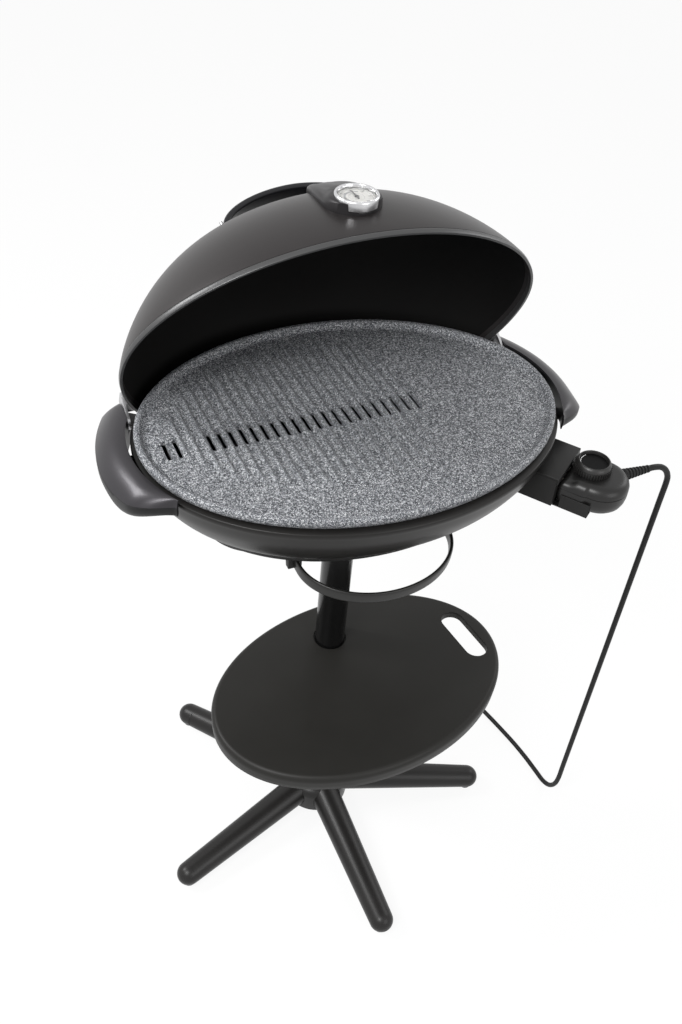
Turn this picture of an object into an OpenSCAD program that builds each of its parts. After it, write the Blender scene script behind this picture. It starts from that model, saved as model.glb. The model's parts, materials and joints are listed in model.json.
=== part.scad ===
// Pedestal electric grill: a star base, a pole with an oval shelf, a heated oval bowl with a
// ribbed grill plate, a plug-in thermostat, and a domed lid that tilts back on two side pivots.
// Millimetres, +Z up, X along the long way of the plate, origin on the floor under the pole.
// The lid is drawn shut in its own modules and stands open in the part.

/* [Base] */
// Number of legs in the star
leg_count = 5; // [5:1:6]
// From the pole's axis to the middle of a leg's round tip
leg_reach = 268; // [250:1:290]
// Diameter of a leg at its tip
leg_tip_d = 38; // [34:1:42]
// Diameter of a leg where it leaves the hub
leg_root_d = 48; // [44:1:50]
// How much the leg's axis climbs from its tip to the pole's axis
leg_rise = 26; // [16:1:30]
// Wall of a leg
leg_wall = 3; // [2:0.5:4]
// Thickness of a foot pad under its cap
pad_h = 3; // [2:0.5:4]
// Diameter of the hub
hub_d = 106; // [98:1:120]
// Height of the hub's top over the floor
hub_top = 78; // [74:1:90]

/* [Pole] */
// Outer diameter of the pole
pole_d = 44; // [38:1:48]
// Wall of the pole
pole_wall = 2; // [1.5:0.5:3]

/* [Shelf] */
// Length of the shelf
shelf_l = 452; // [420:1:480]
// Width of the shelf
shelf_w = 308; // [290:1:330]
// Height of the shelf's top over the floor
shelf_top = 404; // [380:1:430]
// Height of the shelf's edge
shelf_h = 25; // [20:1:32]
// Wall of the shelf moulding
shelf_wall = 3; // [2:0.5:4]
// How far the shelf's middle lies in front of the pole
shelf_forward = 88; // [80:1:96]
// Turn of the shelf round the pole
shelf_turn = 7; // [-10:1:10]
// Length of the hand hole
hand_hole_l = 95; // [80:1:110]
// Width of the hand hole
hand_hole_w = 35; // [28:1:40]

/* [Bowl] */
// Length of the bowl's rim
bowl_l = 548; // [530:1:560]
// Width of the bowl's rim
bowl_w = 416; // [404:1:430]
// Height of the bowl's rim over the floor
bowl_rim_z = 815; // [790:1:840]
// Depth of the bowl
bowl_depth = 74; // [66:1:80]
// Wall of the bowl
bowl_wall = 3; // [2:0.5:4]
// Depth of the pan under the bowl
pan_depth = 25; // [22:1:30]

/* [Grill plate] */
// Length of the plate
plate_l = 540; // [530:1:544]
// Width of the plate
plate_w = 398; // [390:1:404]
// Height of the plate's rim over the bowl's rim
plate_stand = 13.4; // [12:0.2:16]
// Depth of the cooking well below the plate's rim
well_depth = 8; // [6:0.5:9]
// Width of the plate's raised rim
plate_rim_w = 8; // [6:0.5:10]
// Thickness of the casting in the well
plate_t = 5; // [4:0.5:6]
// Spacing of the drain slots and of the ribs between them
rib_pitch = 13.5; // [12.5:0.1:14.5]
// Width of a rib
rib_w = 5.2; // [4:0.2:6]
// Height of a rib
rib_h = 2.4; // [1.5:0.1:3]
// Width of a drain slot
slot_w = 6; // [4:0.5:7]
// Length of a drain slot
slot_l = 35; // [25:1:45]
// Number of drain slots in the long row
slot_count = 21; // [15:1:21]

/* [Lid] */
// Height of the dome over its rim band
dome_h = 154; // [140:1:165]
// Wall of the lid
lid_wall = 2.5; // [2:0.5:3]
// Height of the rim band
band_h = 7; // [5:0.5:9]
// Angle at which the lid stands open
lid_angle = 64.5; // [60:0.5:66]
// How much farther the lid reaches behind than in front
lid_behind = 21; // [18:1:24]
// Half the span of the lid's handle
lid_grip_span = 106; // [95:1:112]
// Width of the lid handle's strap
lid_grip_w = 24; // [18:1:30]
// Thickness of the lid handle's strap
lid_grip_t = 8; // [6:0.5:10]

/* [Lid pivot] */
// How far the pivots lie behind the pole's axis
pivot_y = 79.5; // [76:0.5:83]
// How far the pivots lie below the bowl's rim
pivot_drop = 3.4; // [2:0.2:6]
// Diameter of a pivot pin
pivot_d = 8; // [6:0.5:9]
// Radial clearance of a pivot pin in its bore
pivot_clear = 0.05; // [0.02:0.01:0.1]
// Thickness of a lid ear
ear_t = 3.4; // [2.5:0.1:3.6]

/* [Thermometer] */
// Diameter of the thermometer's bezel
gauge_d = 51; // [46:1:56]
// Height of the bezel
gauge_h = 13; // [11:0.5:15]
// Diameter of the thermometer's stem
stem_d = 6; // [5:0.5:7]
// Height of the teardrop boss over the dome
boss_h = 9; // [7:0.5:11]

/* [Side handles] */
// Reach of a handle outside its inner edge
handle_w = 34; // [28:1:40]
// Slit between the bowl's rim and a handle
handle_slit = 5; // [4:0.5:6]
// Thickness of the upper shell of a handle
handle_shell = 3; // [2.5:0.5:4]

/* [Thermostat] */
// Diameter of the control knob
knob_d = 48; // [42:1:52]
// Height of the control knob
knob_h = 14; // [11:1:16]
// Diameter of the knob's shaft
shaft_d = 6; // [5:0.5:7]
// Radius of the round end of the thermostat
control_r = 37; // [34:0.5:40]
// Height of the thermostat's lower shell
control_base_h = 27; // [24:1:30]
// Height of the thermostat's upper shell
control_top_h = 15; // [12:1:18]
// Length of the cord's strain relief
relief_l = 40; // [30:1:50]

/* [Grease tray] */
// Length of the tray along its slide
tray_l = 162; // [140:1:166]
// Width of the tray
tray_w = 168; // [150:1:172]
// Depth of the tray
tray_h = 18; // [14:1:20]
// Wall of the tray
tray_wall = 1.5; // [1:0.25:2]

/* [Utensil rail] */
// Width of the rail
rail_w = 210; // [190:1:220]
// How far the rail reaches forward
rail_d = 78; // [65:1:85]
// Height of the rail's flattened tube
rail_tube_h = 14; // [10:1:16]

/* [Hidden] */
$fn = 64;
fit = 0.2;                             // gap between pieces that are assembled without force
tip_z = pad_h + leg_tip_d / 2;
leg_tilt = atan(leg_rise / leg_reach);
leg_len = norm([leg_reach, leg_rise]);
cap_l = 14;                            // straight part of a leg's end cap
cap_spigot = 12;
pad_r = 11;
pad_sink = 2;                          // how far a pad sits in its cap
leg_socket = 18;                       // how deep a leg sits in the hub
hub_r = hub_d / 2;
pole_r = pole_d / 2;
pole_foot_z = 30;                      // where the pole stands in the hub
pan_z = bowl_rim_z - bowl_depth - pan_depth;
bowl_floor_z = bowl_rim_z - bowl_depth;
socket_flange_h = 9;
socket_l = 70;
socket_wall = 6;
pole_top_z = pan_z - 4;
collar_h = 34;
collar_wall = 9;
bowl_a = bowl_l / 2;
bowl_b = bowl_w / 2;
plate_a = plate_l / 2;
plate_b = plate_w / 2;
plate_z = bowl_rim_z + plate_stand;
well_z = plate_z - well_depth;
under_z = well_z - plate_t;
slot_first = -182.4;                   // leftmost slot of the long row
rib_field_x = 10;
rib_field_y = 20;
rib_field_r = 152;
channel_deep = 0.5;                    // drain channel in the well, in which the slots lie
rib_sink = channel_deep + 0.7;         // how far a rib is rooted in the well
ledge = 12;                            // width of the bowl's inner ledge
lid_gap = 0.6;                         // lid rim over the plate's rim when shut
lid_z = plate_z + lid_gap;
lid_front = plate_b;
lid_back = plate_b + lid_behind;
dome_z = lid_z + band_h - 3.4;         // where the dome's curve starts
dome_low = 2.95;                       // how flat the dome's top is
dome_side = 0.833;                     // how upright the dome's side is
pivot_z = bowl_rim_z - pivot_drop;
handle_a = bowl_a + handle_slit;
handle_b = bowl_b + handle_slit - 1;
handle_front = -26;                    // angles round the oval at which a handle ends
handle_rear = 30;
handle_split_z = bowl_rim_z - 13;
handle_top_z = plate_z - 3;
handle_low_z = bowl_rim_z - 41;
handle_boss_y = [-52, 24];             // mounting bosses between a handle and the bowl
ear_gap = 0.8;                         // ear beside the bowl's rim and beside the handle
ear_r = 10;
pin_hold = 12.8;                        // how far a pivot pin reaches into its handle
head_sink = 2;                          // depth of the shelf's pockets for its screw heads
ear_x = reach_at(bowl_a, bowl_b, pivot_y - ear_r) + ear_gap;
cheek_x = ear_x + ear_t + ear_gap;     // face of the handle beside the ear
ear_swing = 44;                        // radius kept free round the pivot for the ear
gauge_y = -191;
gauge_z = lid_z + 66;
gauge_tilt = lid_angle;
bezel_w = 1.8;                         // wall of the bezel round the case
nut_down = gauge_h + 6.7;              // from the bezel's front to the stem's nut, inside the lid
boss_w = 34;
tube_r = 4;                            // heating element
element_z = under_z - tube_r;
element_r = 120;
element_half = 110;
control_x = 264;
control_y = -155;
control_turn = -54;
housing_front = -27;
housing_w = 77;
housing_mid = -13;
housing_top = bowl_rim_z - 31;
housing_low = bowl_rim_z - 71;
cover_t = 3;
terminal_z = bowl_rim_z - 47;
terminal_t = [housing_mid - 12, housing_mid + 12];
control_z = bowl_rim_z - 75;           // underside of the thermostat
control_mid = [14, -2];
control_wall = 2.5;
neck_w = 56;
split_z = control_z + control_base_h;
control_top_z = split_z + control_top_h;
shield_t = 1.2;
relief_z = terminal_z;
relief_y = -165;
relief_d = 16;
cord_d = 8;
rail_x = -9;
rail_y = -112;
rail_z = pan_z - 22;
rail_t = 6;
tray_x = -39;                          // right end of the tray
tray_gap = 1;
tray_top_z = pan_z - tray_gap;
drain_x = -120;
drain_d = 18;

// Route of the cord from the strain relief to the coil, chosen by hand
cord_route = [
    [348, -165, 768], [356, -165, 768], [368, -165, 765.5], [378, -165, 758.5], [385, -165, 748],
    [388, -165, 735], [388, -165, 700], [388, -165, 640], [388, -165, 580], [388, -165, 520],
    [388, -165, 460], [388, -165, 400], [388, -165, 340], [388, -165, 280], [388, -165, 220],
    [388, -165, 160], [388, -165, 100], [388, -165, 60], [388, -161, 36], [388, -150, 17],
    [388, -133, 7], [388, -112, 4.5], [386, -80, 4.5], [382, -45, 4.5], [376, -10, 4.5],
    [368, 30, 4.5], [360, 65, 4.5], [354, 95, 4.5], [351, 120, 4.5], [350, 142, 4.5]];
coil_mid = [300, 150];
coil_r = 50;
coil_turns = 2.5;
coil_pitch = 8.8;                      // spacing of the coil's turns and layers
coil_rise = 8.8;
floor_z = 4.5;                         // cord's axis when it lies on the floor
// Route of the cord's end from the coil to the plug
tail_route = [
    [250, 142, 13.3], [250, 134, 13.2], [250.5, 122, 12], [252, 110, 8.5], [255, 99, 5.5],
    [260, 89, 5], [268, 82, 6.5], [278, 78.5, 8.6], [284, 78, 9], [290, 78, 9]];
plug_l = 34;
plug_w = 24;
plug_t = 18;

// Ring of points on an oval whose front and rear halves have their own widths
function oval(a, front, rear, z, n = 64) =
    [for (i = [0 : n - 1]) let (t = 360 * i / n)
        [a * cos(t), (sin(t) < 0 ? front : rear) * sin(t), z]];

function even(a, b, z, n = 64) = oval(a, b, b, z, n);

// Half the length of an oval at y
function reach_at(a, b, y) = a * sqrt(1 - pow(y / b, 2));

// Closed surface through rings that are listed upwards on the outside, then down the inside
module loft(rings) {
    n = len(rings[0]);
    m = len(rings);
    skin = [for (j = [0 : m - 2], i = [0 : n - 1])
        let (a = j * n + i, b = j * n + (i + 1) % n, c = a + n, d = b + n) each [[a, c, b], [b, c, d]]];
    low = [for (i = [0 : n - 1]) i];
    high = [for (i = [n - 1 : -1 : 0]) (m - 1) * n + i];
    polyhedron([for (r = rings) each r], concat(skin, [low, high]));
}

// The same for a ring-shaped piece, whose last ring joins its first
module loft_round(rings) {
    n = len(rings[0]);
    m = len(rings);
    skin = [for (j = [0 : m - 1], i = [0 : n - 1])
        let (k = (j + 1) % m, a = j * n + i, b = j * n + (i + 1) % n, c = k * n + i, d = k * n + (i + 1) % n)
        each [[a, c, b], [b, c, d]]];
    polyhedron([for (r = rings) each r], skin);
}

function unit(v) = v / norm(v);
function heading(p, i) = unit(p[min(i + 1, len(p) - 1)] - p[max(i - 1, 0)]);
function square_to(v, t) = unit(v - (v * t) * t);

// Side directions carried along a path without twist
function carried(p, first) =
    [for (i = 0, s = square_to(first, heading(p, 0)); i < len(p);
        i = i + 1, s = i < len(p) ? square_to(s, heading(p, i)) : s) s];

// Tube with a flattened or round section along a path
module tube(p, r, sides, flat = 1, first = [0, 0, 1]) {
    side = carried(p, first);
    loft([for (i = [0 : len(p) - 1])
        let (u = side[i], v = cross(heading(p, i), u))
        [for (k = [0 : sides - 1]) p[i] + r * cos(360 * k / sides) * u + r * flat * sin(360 * k / sides) * v]]);
}

// Smooth curve through points, each stretch cut into equal steps
function curve(p, steps) = concat(
    [for (i = [0 : len(p) - 2], k = [0 : steps - 1])
        let (t = k / steps, a = p[max(i - 1, 0)], b = p[i], c = p[i + 1], d = p[min(i + 2, len(p) - 1)])
        b + 0.5 * t * ((c - a) + t * ((2 * a - 5 * b + 4 * c - d) + t * (3 * b - a - 3 * c + d)))],
    [p[len(p) - 1]]);

module rod(p, q, r) {
    d = q - p;
    translate(p) rotate([0, acos(d[2] / norm(d)), atan2(d[1], d[0])]) cylinder(h = norm(d), r = r);
}

// Screw with a domed head, its head up and its seat at z = 0
module screw(d, l, head) {
    translate([0, 0, -l]) cylinder(h = l, d = d, $fn = 24);
    difference() {
        cylinder(h = 0.45 * d, d1 = head, d2 = 0.7 * head, $fn = 24);
        for (a = [0, 90]) rotate(a) translate([-0.3 * head, -0.1 * d, 0.25 * d]) cube([0.6 * head, 0.2 * d, d]);
    }
}

// Leg frame: z runs from the tip's middle along the leg to the pole's axis
module at_leg(i) {
    rotate(360 / leg_count * i - 90) translate([leg_reach, 0, tip_z]) rotate([0, leg_tilt - 90, 0]) children();
}

function leg_r(s) = (leg_tip_d + (leg_root_d - leg_tip_d) * s / (leg_len - hub_r)) / 2;

module leg_cone(from, to, inset) {
    translate([0, 0, from]) cylinder(h = to - from, r1 = leg_r(from) - inset, r2 = leg_r(to) - inset);
}

leg_end = leg_len - hub_r + leg_socket;

module base_hub() {
    color("#17181a") difference() {
        rotate_extrude() polygon(concat(
            [[0, pole_foot_z - 16], [hub_r - 6, pole_foot_z - 16], [hub_r, pole_foot_z - 10], [hub_r, hub_top - 26]],
            [for (a = [10 : 10 : 80]) [pole_r + 9 + (hub_r - pole_r - 9) * cos(a), hub_top - 26 + 18 * sin(a)]],
            [[pole_r + 9, hub_top - 8], [pole_r + 7, hub_top], [0, hub_top]]));
        translate([0, 0, pole_foot_z]) cylinder(h = hub_top, r = pole_r + fit);
        translate([0, 0, pole_foot_z - 20]) cylinder(h = 24, d = 12.4);
        for (i = [0 : leg_count - 1]) at_leg(i) leg_cone(leg_len - hub_r - 20, leg_end, -fit);
    }
}

module base_legs() {
    color("#17181a") for (i = [0 : leg_count - 1]) at_leg(i) difference() {
        leg_cone(cap_l, leg_end, 0);
        leg_cone(cap_l - 1, leg_end - leg_wall, leg_wall);
    }
}

module leg_caps() {
    color("#131416") for (i = [0 : leg_count - 1]) difference() {
        at_leg(i) {
            sphere(d = leg_tip_d);
            cylinder(h = cap_l, r1 = leg_tip_d / 2, r2 = leg_r(cap_l));
            cylinder(h = cap_l + cap_spigot, r = leg_tip_d / 2 - leg_wall - fit);
        }
        at_pad(i) cylinder(h = pad_h + pad_sink, r = pad_r + 0.1);
    }
}

module at_pad(i) {
    rotate(360 / leg_count * i - 90) translate([leg_reach, 0, 0]) children();
}

module foot_pads() {
    color("#0c0c0d") for (i = [0 : leg_count - 1]) at_pad(i)
        rotate_extrude() polygon([[0, 0], [pad_r - 1.5, 0], [pad_r, 1.5], [pad_r, pad_h + pad_sink], [0, pad_h + pad_sink]]);
}

module pole_bolt() {
    color("#9a9c9e") {
        translate([0, 0, pole_foot_z - 16 - 7]) cylinder(h = 7, d = 19, $fn = 6);
        translate([0, 0, pole_foot_z - 16]) cylinder(h = 36, d = 12);
    }
}

module pole_tube() {
    color("#17181a") difference() {
        translate([0, 0, pole_foot_z]) cylinder(h = pole_top_z - pole_foot_z, r = pole_r);
        translate([0, 0, pole_foot_z + 8]) cylinder(h = pole_top_z, r = pole_r - pole_wall);
        translate([0, 0, pole_foot_z - 1]) cylinder(h = 20, d = 12.4);
    }
}

// Shelf frame: origin at the shelf's middle on the floor
module at_shelf() {
    rotate(shelf_turn) translate([0, -shelf_forward, 0]) children();
}

module shelf_collar() {
    z = shelf_top - shelf_wall;
    color("#1b1c1e") difference() {
        rotate_extrude() polygon([[0, z - collar_h], [pole_r + collar_wall - 2, z - collar_h],
            [pole_r + collar_wall, z - collar_h + 2], [pole_r + collar_wall, z - 8],
            [pole_r + collar_wall + 12, z - 5], [pole_r + collar_wall + 12, z], [0, z]]);
        translate([0, 0, z - collar_h - 1]) cylinder(h = collar_h + 2, r = pole_r + fit);
        rotate(shelf_turn) translate([-1.2, 0, z - collar_h - 1]) cube([2.4, pole_r + collar_wall + 20, collar_h - 6]);
        for (i = [0 : 2]) at_shelf_screw(i) translate([0, 0, -30]) cylinder(h = 31, d = 4.4, $fn = 24);
    }
}

module shelf() {
    a = shelf_l / 2;
    b = shelf_w / 2;
    w = shelf_wall;
    color("#34363a") difference() {
        at_shelf() loft([
            even(a - 4 - w, b - 4 - w, shelf_top - w), even(a - 1 - w, b - 1 - w, shelf_top - w - 4),
            even(a - w, b - w, shelf_top - 10), even(a - 1 - w, b - 1 - w, shelf_top - shelf_h),
            even(a - 1, b - 1, shelf_top - shelf_h), even(a, b, shelf_top - 9),
            even(a - 0.8, b - 0.8, shelf_top - 5), even(a - 3, b - 3, shelf_top - 1.6),
            even(a - 6, b - 6, shelf_top)]);
        translate([0, 0, shelf_top - 20]) cylinder(h = 40, r = pole_r + 2.4);
        at_shelf() translate([186, 0, shelf_top - 20]) linear_extrude(40) slot_outline(hand_hole_w, hand_hole_l);
        for (i = [0 : 2]) at_shelf_screw(i) {
            translate([0, 0, -10]) cylinder(h = 20, d = 4.4, $fn = 24);
            translate([0, 0, -head_sink]) cylinder(h = 20, d = 8.8, $fn = 24);
        }
    }
}

// Upright slot with round ends
module slot_outline(w, l) {
    square([w, l - w], center = true);
    for (s = [-1, 1]) translate([0, s * (l - w) / 2]) circle(d = w);
}

module at_shelf_screw(i) {
    rotate(120 * i - 90 + shelf_turn) translate([pole_r + collar_wall + 6, 0, shelf_top]) children();
}

module shelf_screws() {
    color("#6d6f72") for (i = [0 : 2]) at_shelf_screw(i) translate([0, 0, -head_sink]) screw(4, 8, 8);
}

module pole_socket() {
    r = pole_r + socket_wall;
    color("#1b1c1e") difference() {
        rotate_extrude() polygon([[0, pan_z - socket_l], [r - 1.5, pan_z - socket_l], [r, pan_z - socket_l + 1.5],
            [r, pan_z - 20], [r + 4, pan_z - socket_flange_h - 3], [r + 10, pan_z - socket_flange_h + 3],
            [r + 10, pan_z], [0, pan_z]]);
        translate([0, 0, pan_z - socket_l - 1]) cylinder(h = pole_top_z - pan_z + socket_l + 1, r = pole_r + fit);
        for (a = [0, 180]) rotate(a) translate([0, 0, pan_z - 45]) rotate([90, 0, 0]) cylinder(h = 40, d = 5.4, $fn = 24);
    }
}

module socket_screws() {
    color("#6d6f72") for (a = [0, 180]) rotate(a) translate([0, -(pole_r + socket_wall), pan_z - 45])
        rotate([90, 0, 0]) screw(5, socket_wall - 0.5, 10);
}

// Shallow pan under the bowl, open at the top, with a spout over the grease tray
module bottom_pan() {
    a = bowl_a - 52;
    b = bowl_b - 50;
    w = bowl_wall;
    color("#1b1c1e") difference() {
        union() {
            loft([even(a - 20, b - 20, pan_z, 48), even(a - 9, b - 9, pan_z + 2, 48), even(a - 3, b - 3, pan_z + 8, 48),
                even(a, b, bowl_floor_z, 48), even(a - w, b - w, bowl_floor_z, 48), even(a - 3 - w, b - 3 - w, pan_z + 9, 48),
                even(a - 20 - w, b - 20 - w, pan_z + w, 48)]);
            translate([drain_x, 0, pan_z]) cylinder(h = pan_depth, d = drain_d + 10);
            translate([0, 0, pan_z]) cylinder(h = pan_depth, r = pole_r + 18);
        }
        translate([drain_x, 0, pan_z - 1]) cylinder(h = pan_depth + 2, d = drain_d + 4);
    }
}

// Tray outline: square at the right, round corners at the left
module tray_shape(inset) {
    r = 74 - inset;
    left = tray_x - tray_l + inset;
    half = tray_w / 2 - inset;
    for (s = [-1, 1]) translate([left + r, s * (half - r)]) circle(r = r);
    translate([left + r, -half]) square([tray_x - inset - left - r, 2 * half]);
    translate([left, -(half - r)]) square([r, 2 * (half - r)]);
}

runner_in = 4;                         // how far a runner reaches under the tray's flange

module grease_tray() {
    color("#26282b") difference() {
        union() {
            translate([0, 0, tray_top_z - tray_h]) linear_extrude(tray_h) tray_shape(runner_in + 1);
            translate([0, 0, tray_top_z - 2]) linear_extrude(2) tray_shape(0);
        }
        translate([0, 0, tray_top_z - tray_h + tray_wall]) linear_extrude(tray_h) tray_shape(runner_in + 1 + tray_wall);
    }
}

module tray_runners() {
    w = tray_w / 2 + tray_gap / 2;
    h = tray_gap + 2 + 0.3 + 1.5;      // gap, flange, clearance and the runner's own lip
    color("#6d6f72") for (s = [-1, 1]) translate([tray_x - 84, 0, pan_z]) {
        translate([0, s > 0 ? w : -w - 1.5, -h]) cube([84, 1.5, h]);
        translate([0, s > 0 ? w - runner_in : -w - 1.5, -h]) cube([84, runner_in + 1.5, 1.5]);
    }
}

function rail_path() = [for (i = [0 : 24]) let (t = 180 + 180 * i / 24)
    [rail_x + (rail_w / 2 - rail_t / 2) * cos(t), rail_y + (rail_d - rail_t / 2) * sin(t), rail_z + 8 * sin(t)]];

rail_end = 8;                          // straight end of the rail at its lug

module utensil_rail() {
    up = [for (s = [0, 1]) rail_path()[s * 24] + [0, rail_end, 0]];
    color("#1a1b1d") tube(concat([up[0]], rail_path(), [up[1]]), rail_tube_h / 2, 12, rail_t / rail_tube_h);
}

module rail_lugs() {
    color("#1a1b1d") for (s = [-1, 1]) translate([rail_x + s * (rail_w / 2 - rail_t / 2), rail_y + rail_end, rail_z])
        rotate([90, 0, 90]) translate([0, 0, -9]) linear_extrude(18)
            polygon([[0, -9], [9, -9], [13, pan_z - rail_z - 4], [13, pan_z - rail_z], [0, pan_z - rail_z]]);
}

function bowl_outer() = [
    even(bowl_a - 50, bowl_b - 48, bowl_floor_z), even(bowl_a - 38, bowl_b - 36, bowl_floor_z + 4),
    even(bowl_a - 22, bowl_b - 21, bowl_floor_z + 0.29 * bowl_depth),
    even(bowl_a - 8, bowl_b - 8, bowl_floor_z + 0.61 * bowl_depth),
    even(bowl_a - 1, bowl_b - 1, bowl_rim_z - 8), even(bowl_a, bowl_b, bowl_rim_z - 4),
    even(bowl_a - 1, bowl_b - 1, bowl_rim_z)];

module bowl_solid() {
    loft(bowl_outer());
}

module bowl() {
    w = bowl_wall;
    color("#1d1e21") difference() {
        loft(concat(bowl_outer(), [
            even(bowl_a - ledge, bowl_b - ledge, bowl_rim_z), even(bowl_a - ledge, bowl_b - ledge, bowl_rim_z - 3.5),
            even(bowl_a - 1 - w, bowl_b - 1 - w, bowl_rim_z - 5),
            even(bowl_a - 8 - w, bowl_b - 8 - w, bowl_floor_z + 0.61 * bowl_depth),
            even(bowl_a - 22 - w, bowl_b - 21 - w, bowl_floor_z + 0.29 * bowl_depth + 1),
            even(bowl_a - 38 - w, bowl_b - 36 - w, bowl_floor_z + 4 + w),
            even(bowl_a - 50 - w, bowl_b - 48 - w, bowl_floor_z + w)]));
        for (t = terminal_t) at_control() terminal_hole(t, 6);
        at_control() terminal_hole(housing_mid, 4);
        translate([drain_x, 0, bowl_floor_z - 1]) cylinder(h = 20, d = drain_d + 4);
    }
}

module heat_reflector() {
    z = bowl_floor_z + bowl_wall;
    w = 1.2;
    color("#b9bbbd") difference() {
        union() {
            loft([even(bowl_a - 58, bowl_b - 56, z, 48), even(bowl_a - 46, bowl_b - 44, z + 4, 48),
                even(bowl_a - 29, bowl_b - 28, z + 20, 48), even(bowl_a - 16, bowl_b - 16, z + 42, 48),
                even(bowl_a - 14, bowl_b - 14, bowl_rim_z - 9, 48), even(bowl_a - 14 - w, bowl_b - 14 - w, bowl_rim_z - 9, 48),
                even(bowl_a - 16 - w, bowl_b - 16 - w, z + 42, 48), even(bowl_a - 29 - w, bowl_b - 28 - w, z + 20.5, 48),
                even(bowl_a - 46 - w, bowl_b - 44 - w, z + 5, 48), even(bowl_a - 58 - w, bowl_b - 56 - w, z + w, 48)]);
            translate([drain_x, 0, tray_top_z + 2]) cylinder(h = z - tray_top_z - 2 + w / 2, d = drain_d);
        }
        translate([drain_x, 0, tray_top_z]) cylinder(h = 60, d = drain_d - 3);
        for (t = terminal_t) at_control() terminal_hole(t, 6);
        at_control() terminal_hole(housing_mid, 4);
    }
}

// Half the length of the rib at x: the ribbed field is an oval with a short right end
function rib_reach(x) = rib_field_r * sqrt(max(0, 1 - pow((x - rib_field_x) / (x < rib_field_x ? 235 : 82), 2)));

module rib(x) {
    l = 2 * rib_reach(x);
    w = rib_w / 2;
    translate([x, rib_field_y + l / 2, well_z]) rotate([90, 0, 0]) linear_extrude(l)
        polygon([[-w, -rib_sink], [w, -rib_sink], [w, 0], [0.85 * w, 0.5 * rib_h], [0.5 * w, 0.88 * rib_h], [0.17 * w, rib_h],
            [-0.17 * w, rib_h], [-0.5 * w, 0.88 * rib_h], [-0.85 * w, 0.5 * rib_h], [-w, 0]]);
}

module grill_plate() {
    a = plate_a;
    b = plate_b;
    w = plate_rim_w;
    inner_a = bowl_a - ledge - 1.5;
    inner_b = bowl_b - ledge - 1.5;
    color("#3d3f42") difference() {
        union() {
            difference() {
                loft([even(inner_a - 8, inner_b - 8, under_z), even(inner_a - 8, inner_b - 8, bowl_rim_z - 4),
                    even(inner_a - 0.5, inner_b - 0.5, bowl_rim_z - 4), even(inner_a, inner_b, bowl_rim_z),
                    even(a - 4, b - 3, bowl_rim_z), even(a - 1.5, b - 1.5, bowl_rim_z + 3), even(a, b, bowl_rim_z + 6),
                    even(a, b, plate_z - 2), even(a - 1.6, b - 1.6, plate_z), even(a - w + 2, b - w + 2, plate_z),
                    even(a - w - 1, b - w - 1, plate_z - 2.5), even(a - w - 4, b - w - 4, well_z)]);
                translate([slot_first - 4 * rib_pitch - slot_w, -slot_l / 2 - 5, well_z - channel_deep])
                    cube([(slot_count + 3) * rib_pitch + 2 * slot_w, slot_l + 10, well_depth]);
            }
            for (i = [-2 : slot_count - 1]) rib(slot_first + rib_pitch * (i - 0.5));
        }
        for (i = [0 : slot_count - 1]) plate_slot(slot_first + rib_pitch * i);
        for (i = [-4, -3]) plate_slot(slot_first + rib_pitch * i);
    }
}

module plate_slot(x) {
    translate([x, 0, under_z - 1]) linear_extrude(plate_t + 8) slot_outline(slot_w, slot_l);
}

// Thermostat frame: x runs outward from the bowl, y along its rim, z from the floor
module at_control() {
    translate([control_x, control_y, 0]) rotate(control_turn) children();
}

// Middle of the element's right end, in the thermostat's frame
element_o = (element_half - control_x) * cos(control_turn) - control_y * sin(control_turn);
element_s = -(element_half - control_x) * sin(control_turn) - control_y * cos(control_turn);
function drop_x(t) = element_o + sqrt(element_r * element_r - pow(t - element_s, 2));
function drop_angle(t) = control_turn + asin((t - element_s) / element_r);

module terminal_hole(t, r) {
    translate([-96, t, terminal_z]) rotate([0, 90, 0]) cylinder(h = 62, r = r, $fn = 32);
}

// Point in the thermostat's frame, as a point of the part
function from_control(x, y, z) =
    [control_x + x * cos(control_turn) - y * sin(control_turn), control_y + x * sin(control_turn) + y * cos(control_turn), z];

// Terminal of the heater: out through the bowl's wall, up to the plate, and round into the loop
function terminal(t) = let (x = drop_x(t)) [
    from_control(housing_front + 12, t, terminal_z), from_control(x + 12, t, terminal_z),
    from_control(x + 4, t, terminal_z + 2), from_control(x, t, terminal_z + 8),
    from_control(x, t, element_z - 10)];
function arc(x, from, to, steps) = [for (i = [0 : steps]) let (a = from + (to - from) * i / steps)
    [x + element_r * cos(a), element_r * sin(a), element_z]];

// Round-ended heater loop under the plate, in one unbroken tube
module heating_element() {
    bend = 5;
    low = drop_angle(terminal_t[0]);
    high = drop_angle(terminal_t[1]);
    back = terminal(terminal_t[1]);
    color("#8c8e90") tube(concat(terminal(terminal_t[0]), arc(element_half, low - bend, -90, 6), arc(-element_half, 270, 90, 18),
        arc(element_half, 90, high + bend, 16), [for (i = [4 : -1 : 0]) back[i]]), tube_r, 8, first = [0, 0, 1]);
}

module element_clips() {
    color("#a7a9ab") for (x = [-80, 70], s = [-1, 1]) translate([x, s * element_r, element_z]) difference() {
        translate([-8, -tube_r - 9, -tube_r - 1.2]) cube([16, 2 * tube_r + 18, 2 * tube_r + 1.2]);
        rotate([0, 90, 0]) cylinder(h = 40, r = tube_r + 0.1, center = true, $fn = 24);
        for (q = [-1, 1]) translate([-9, q > 0 ? tube_r + 1.2 : -tube_r - 11.2, -tube_r - 2]) cube([18, 10, 2 * tube_r + 0.8]);
        translate([-9, -tube_r, 0]) cube([18, 2 * tube_r, 20]);
    }
}

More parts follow.
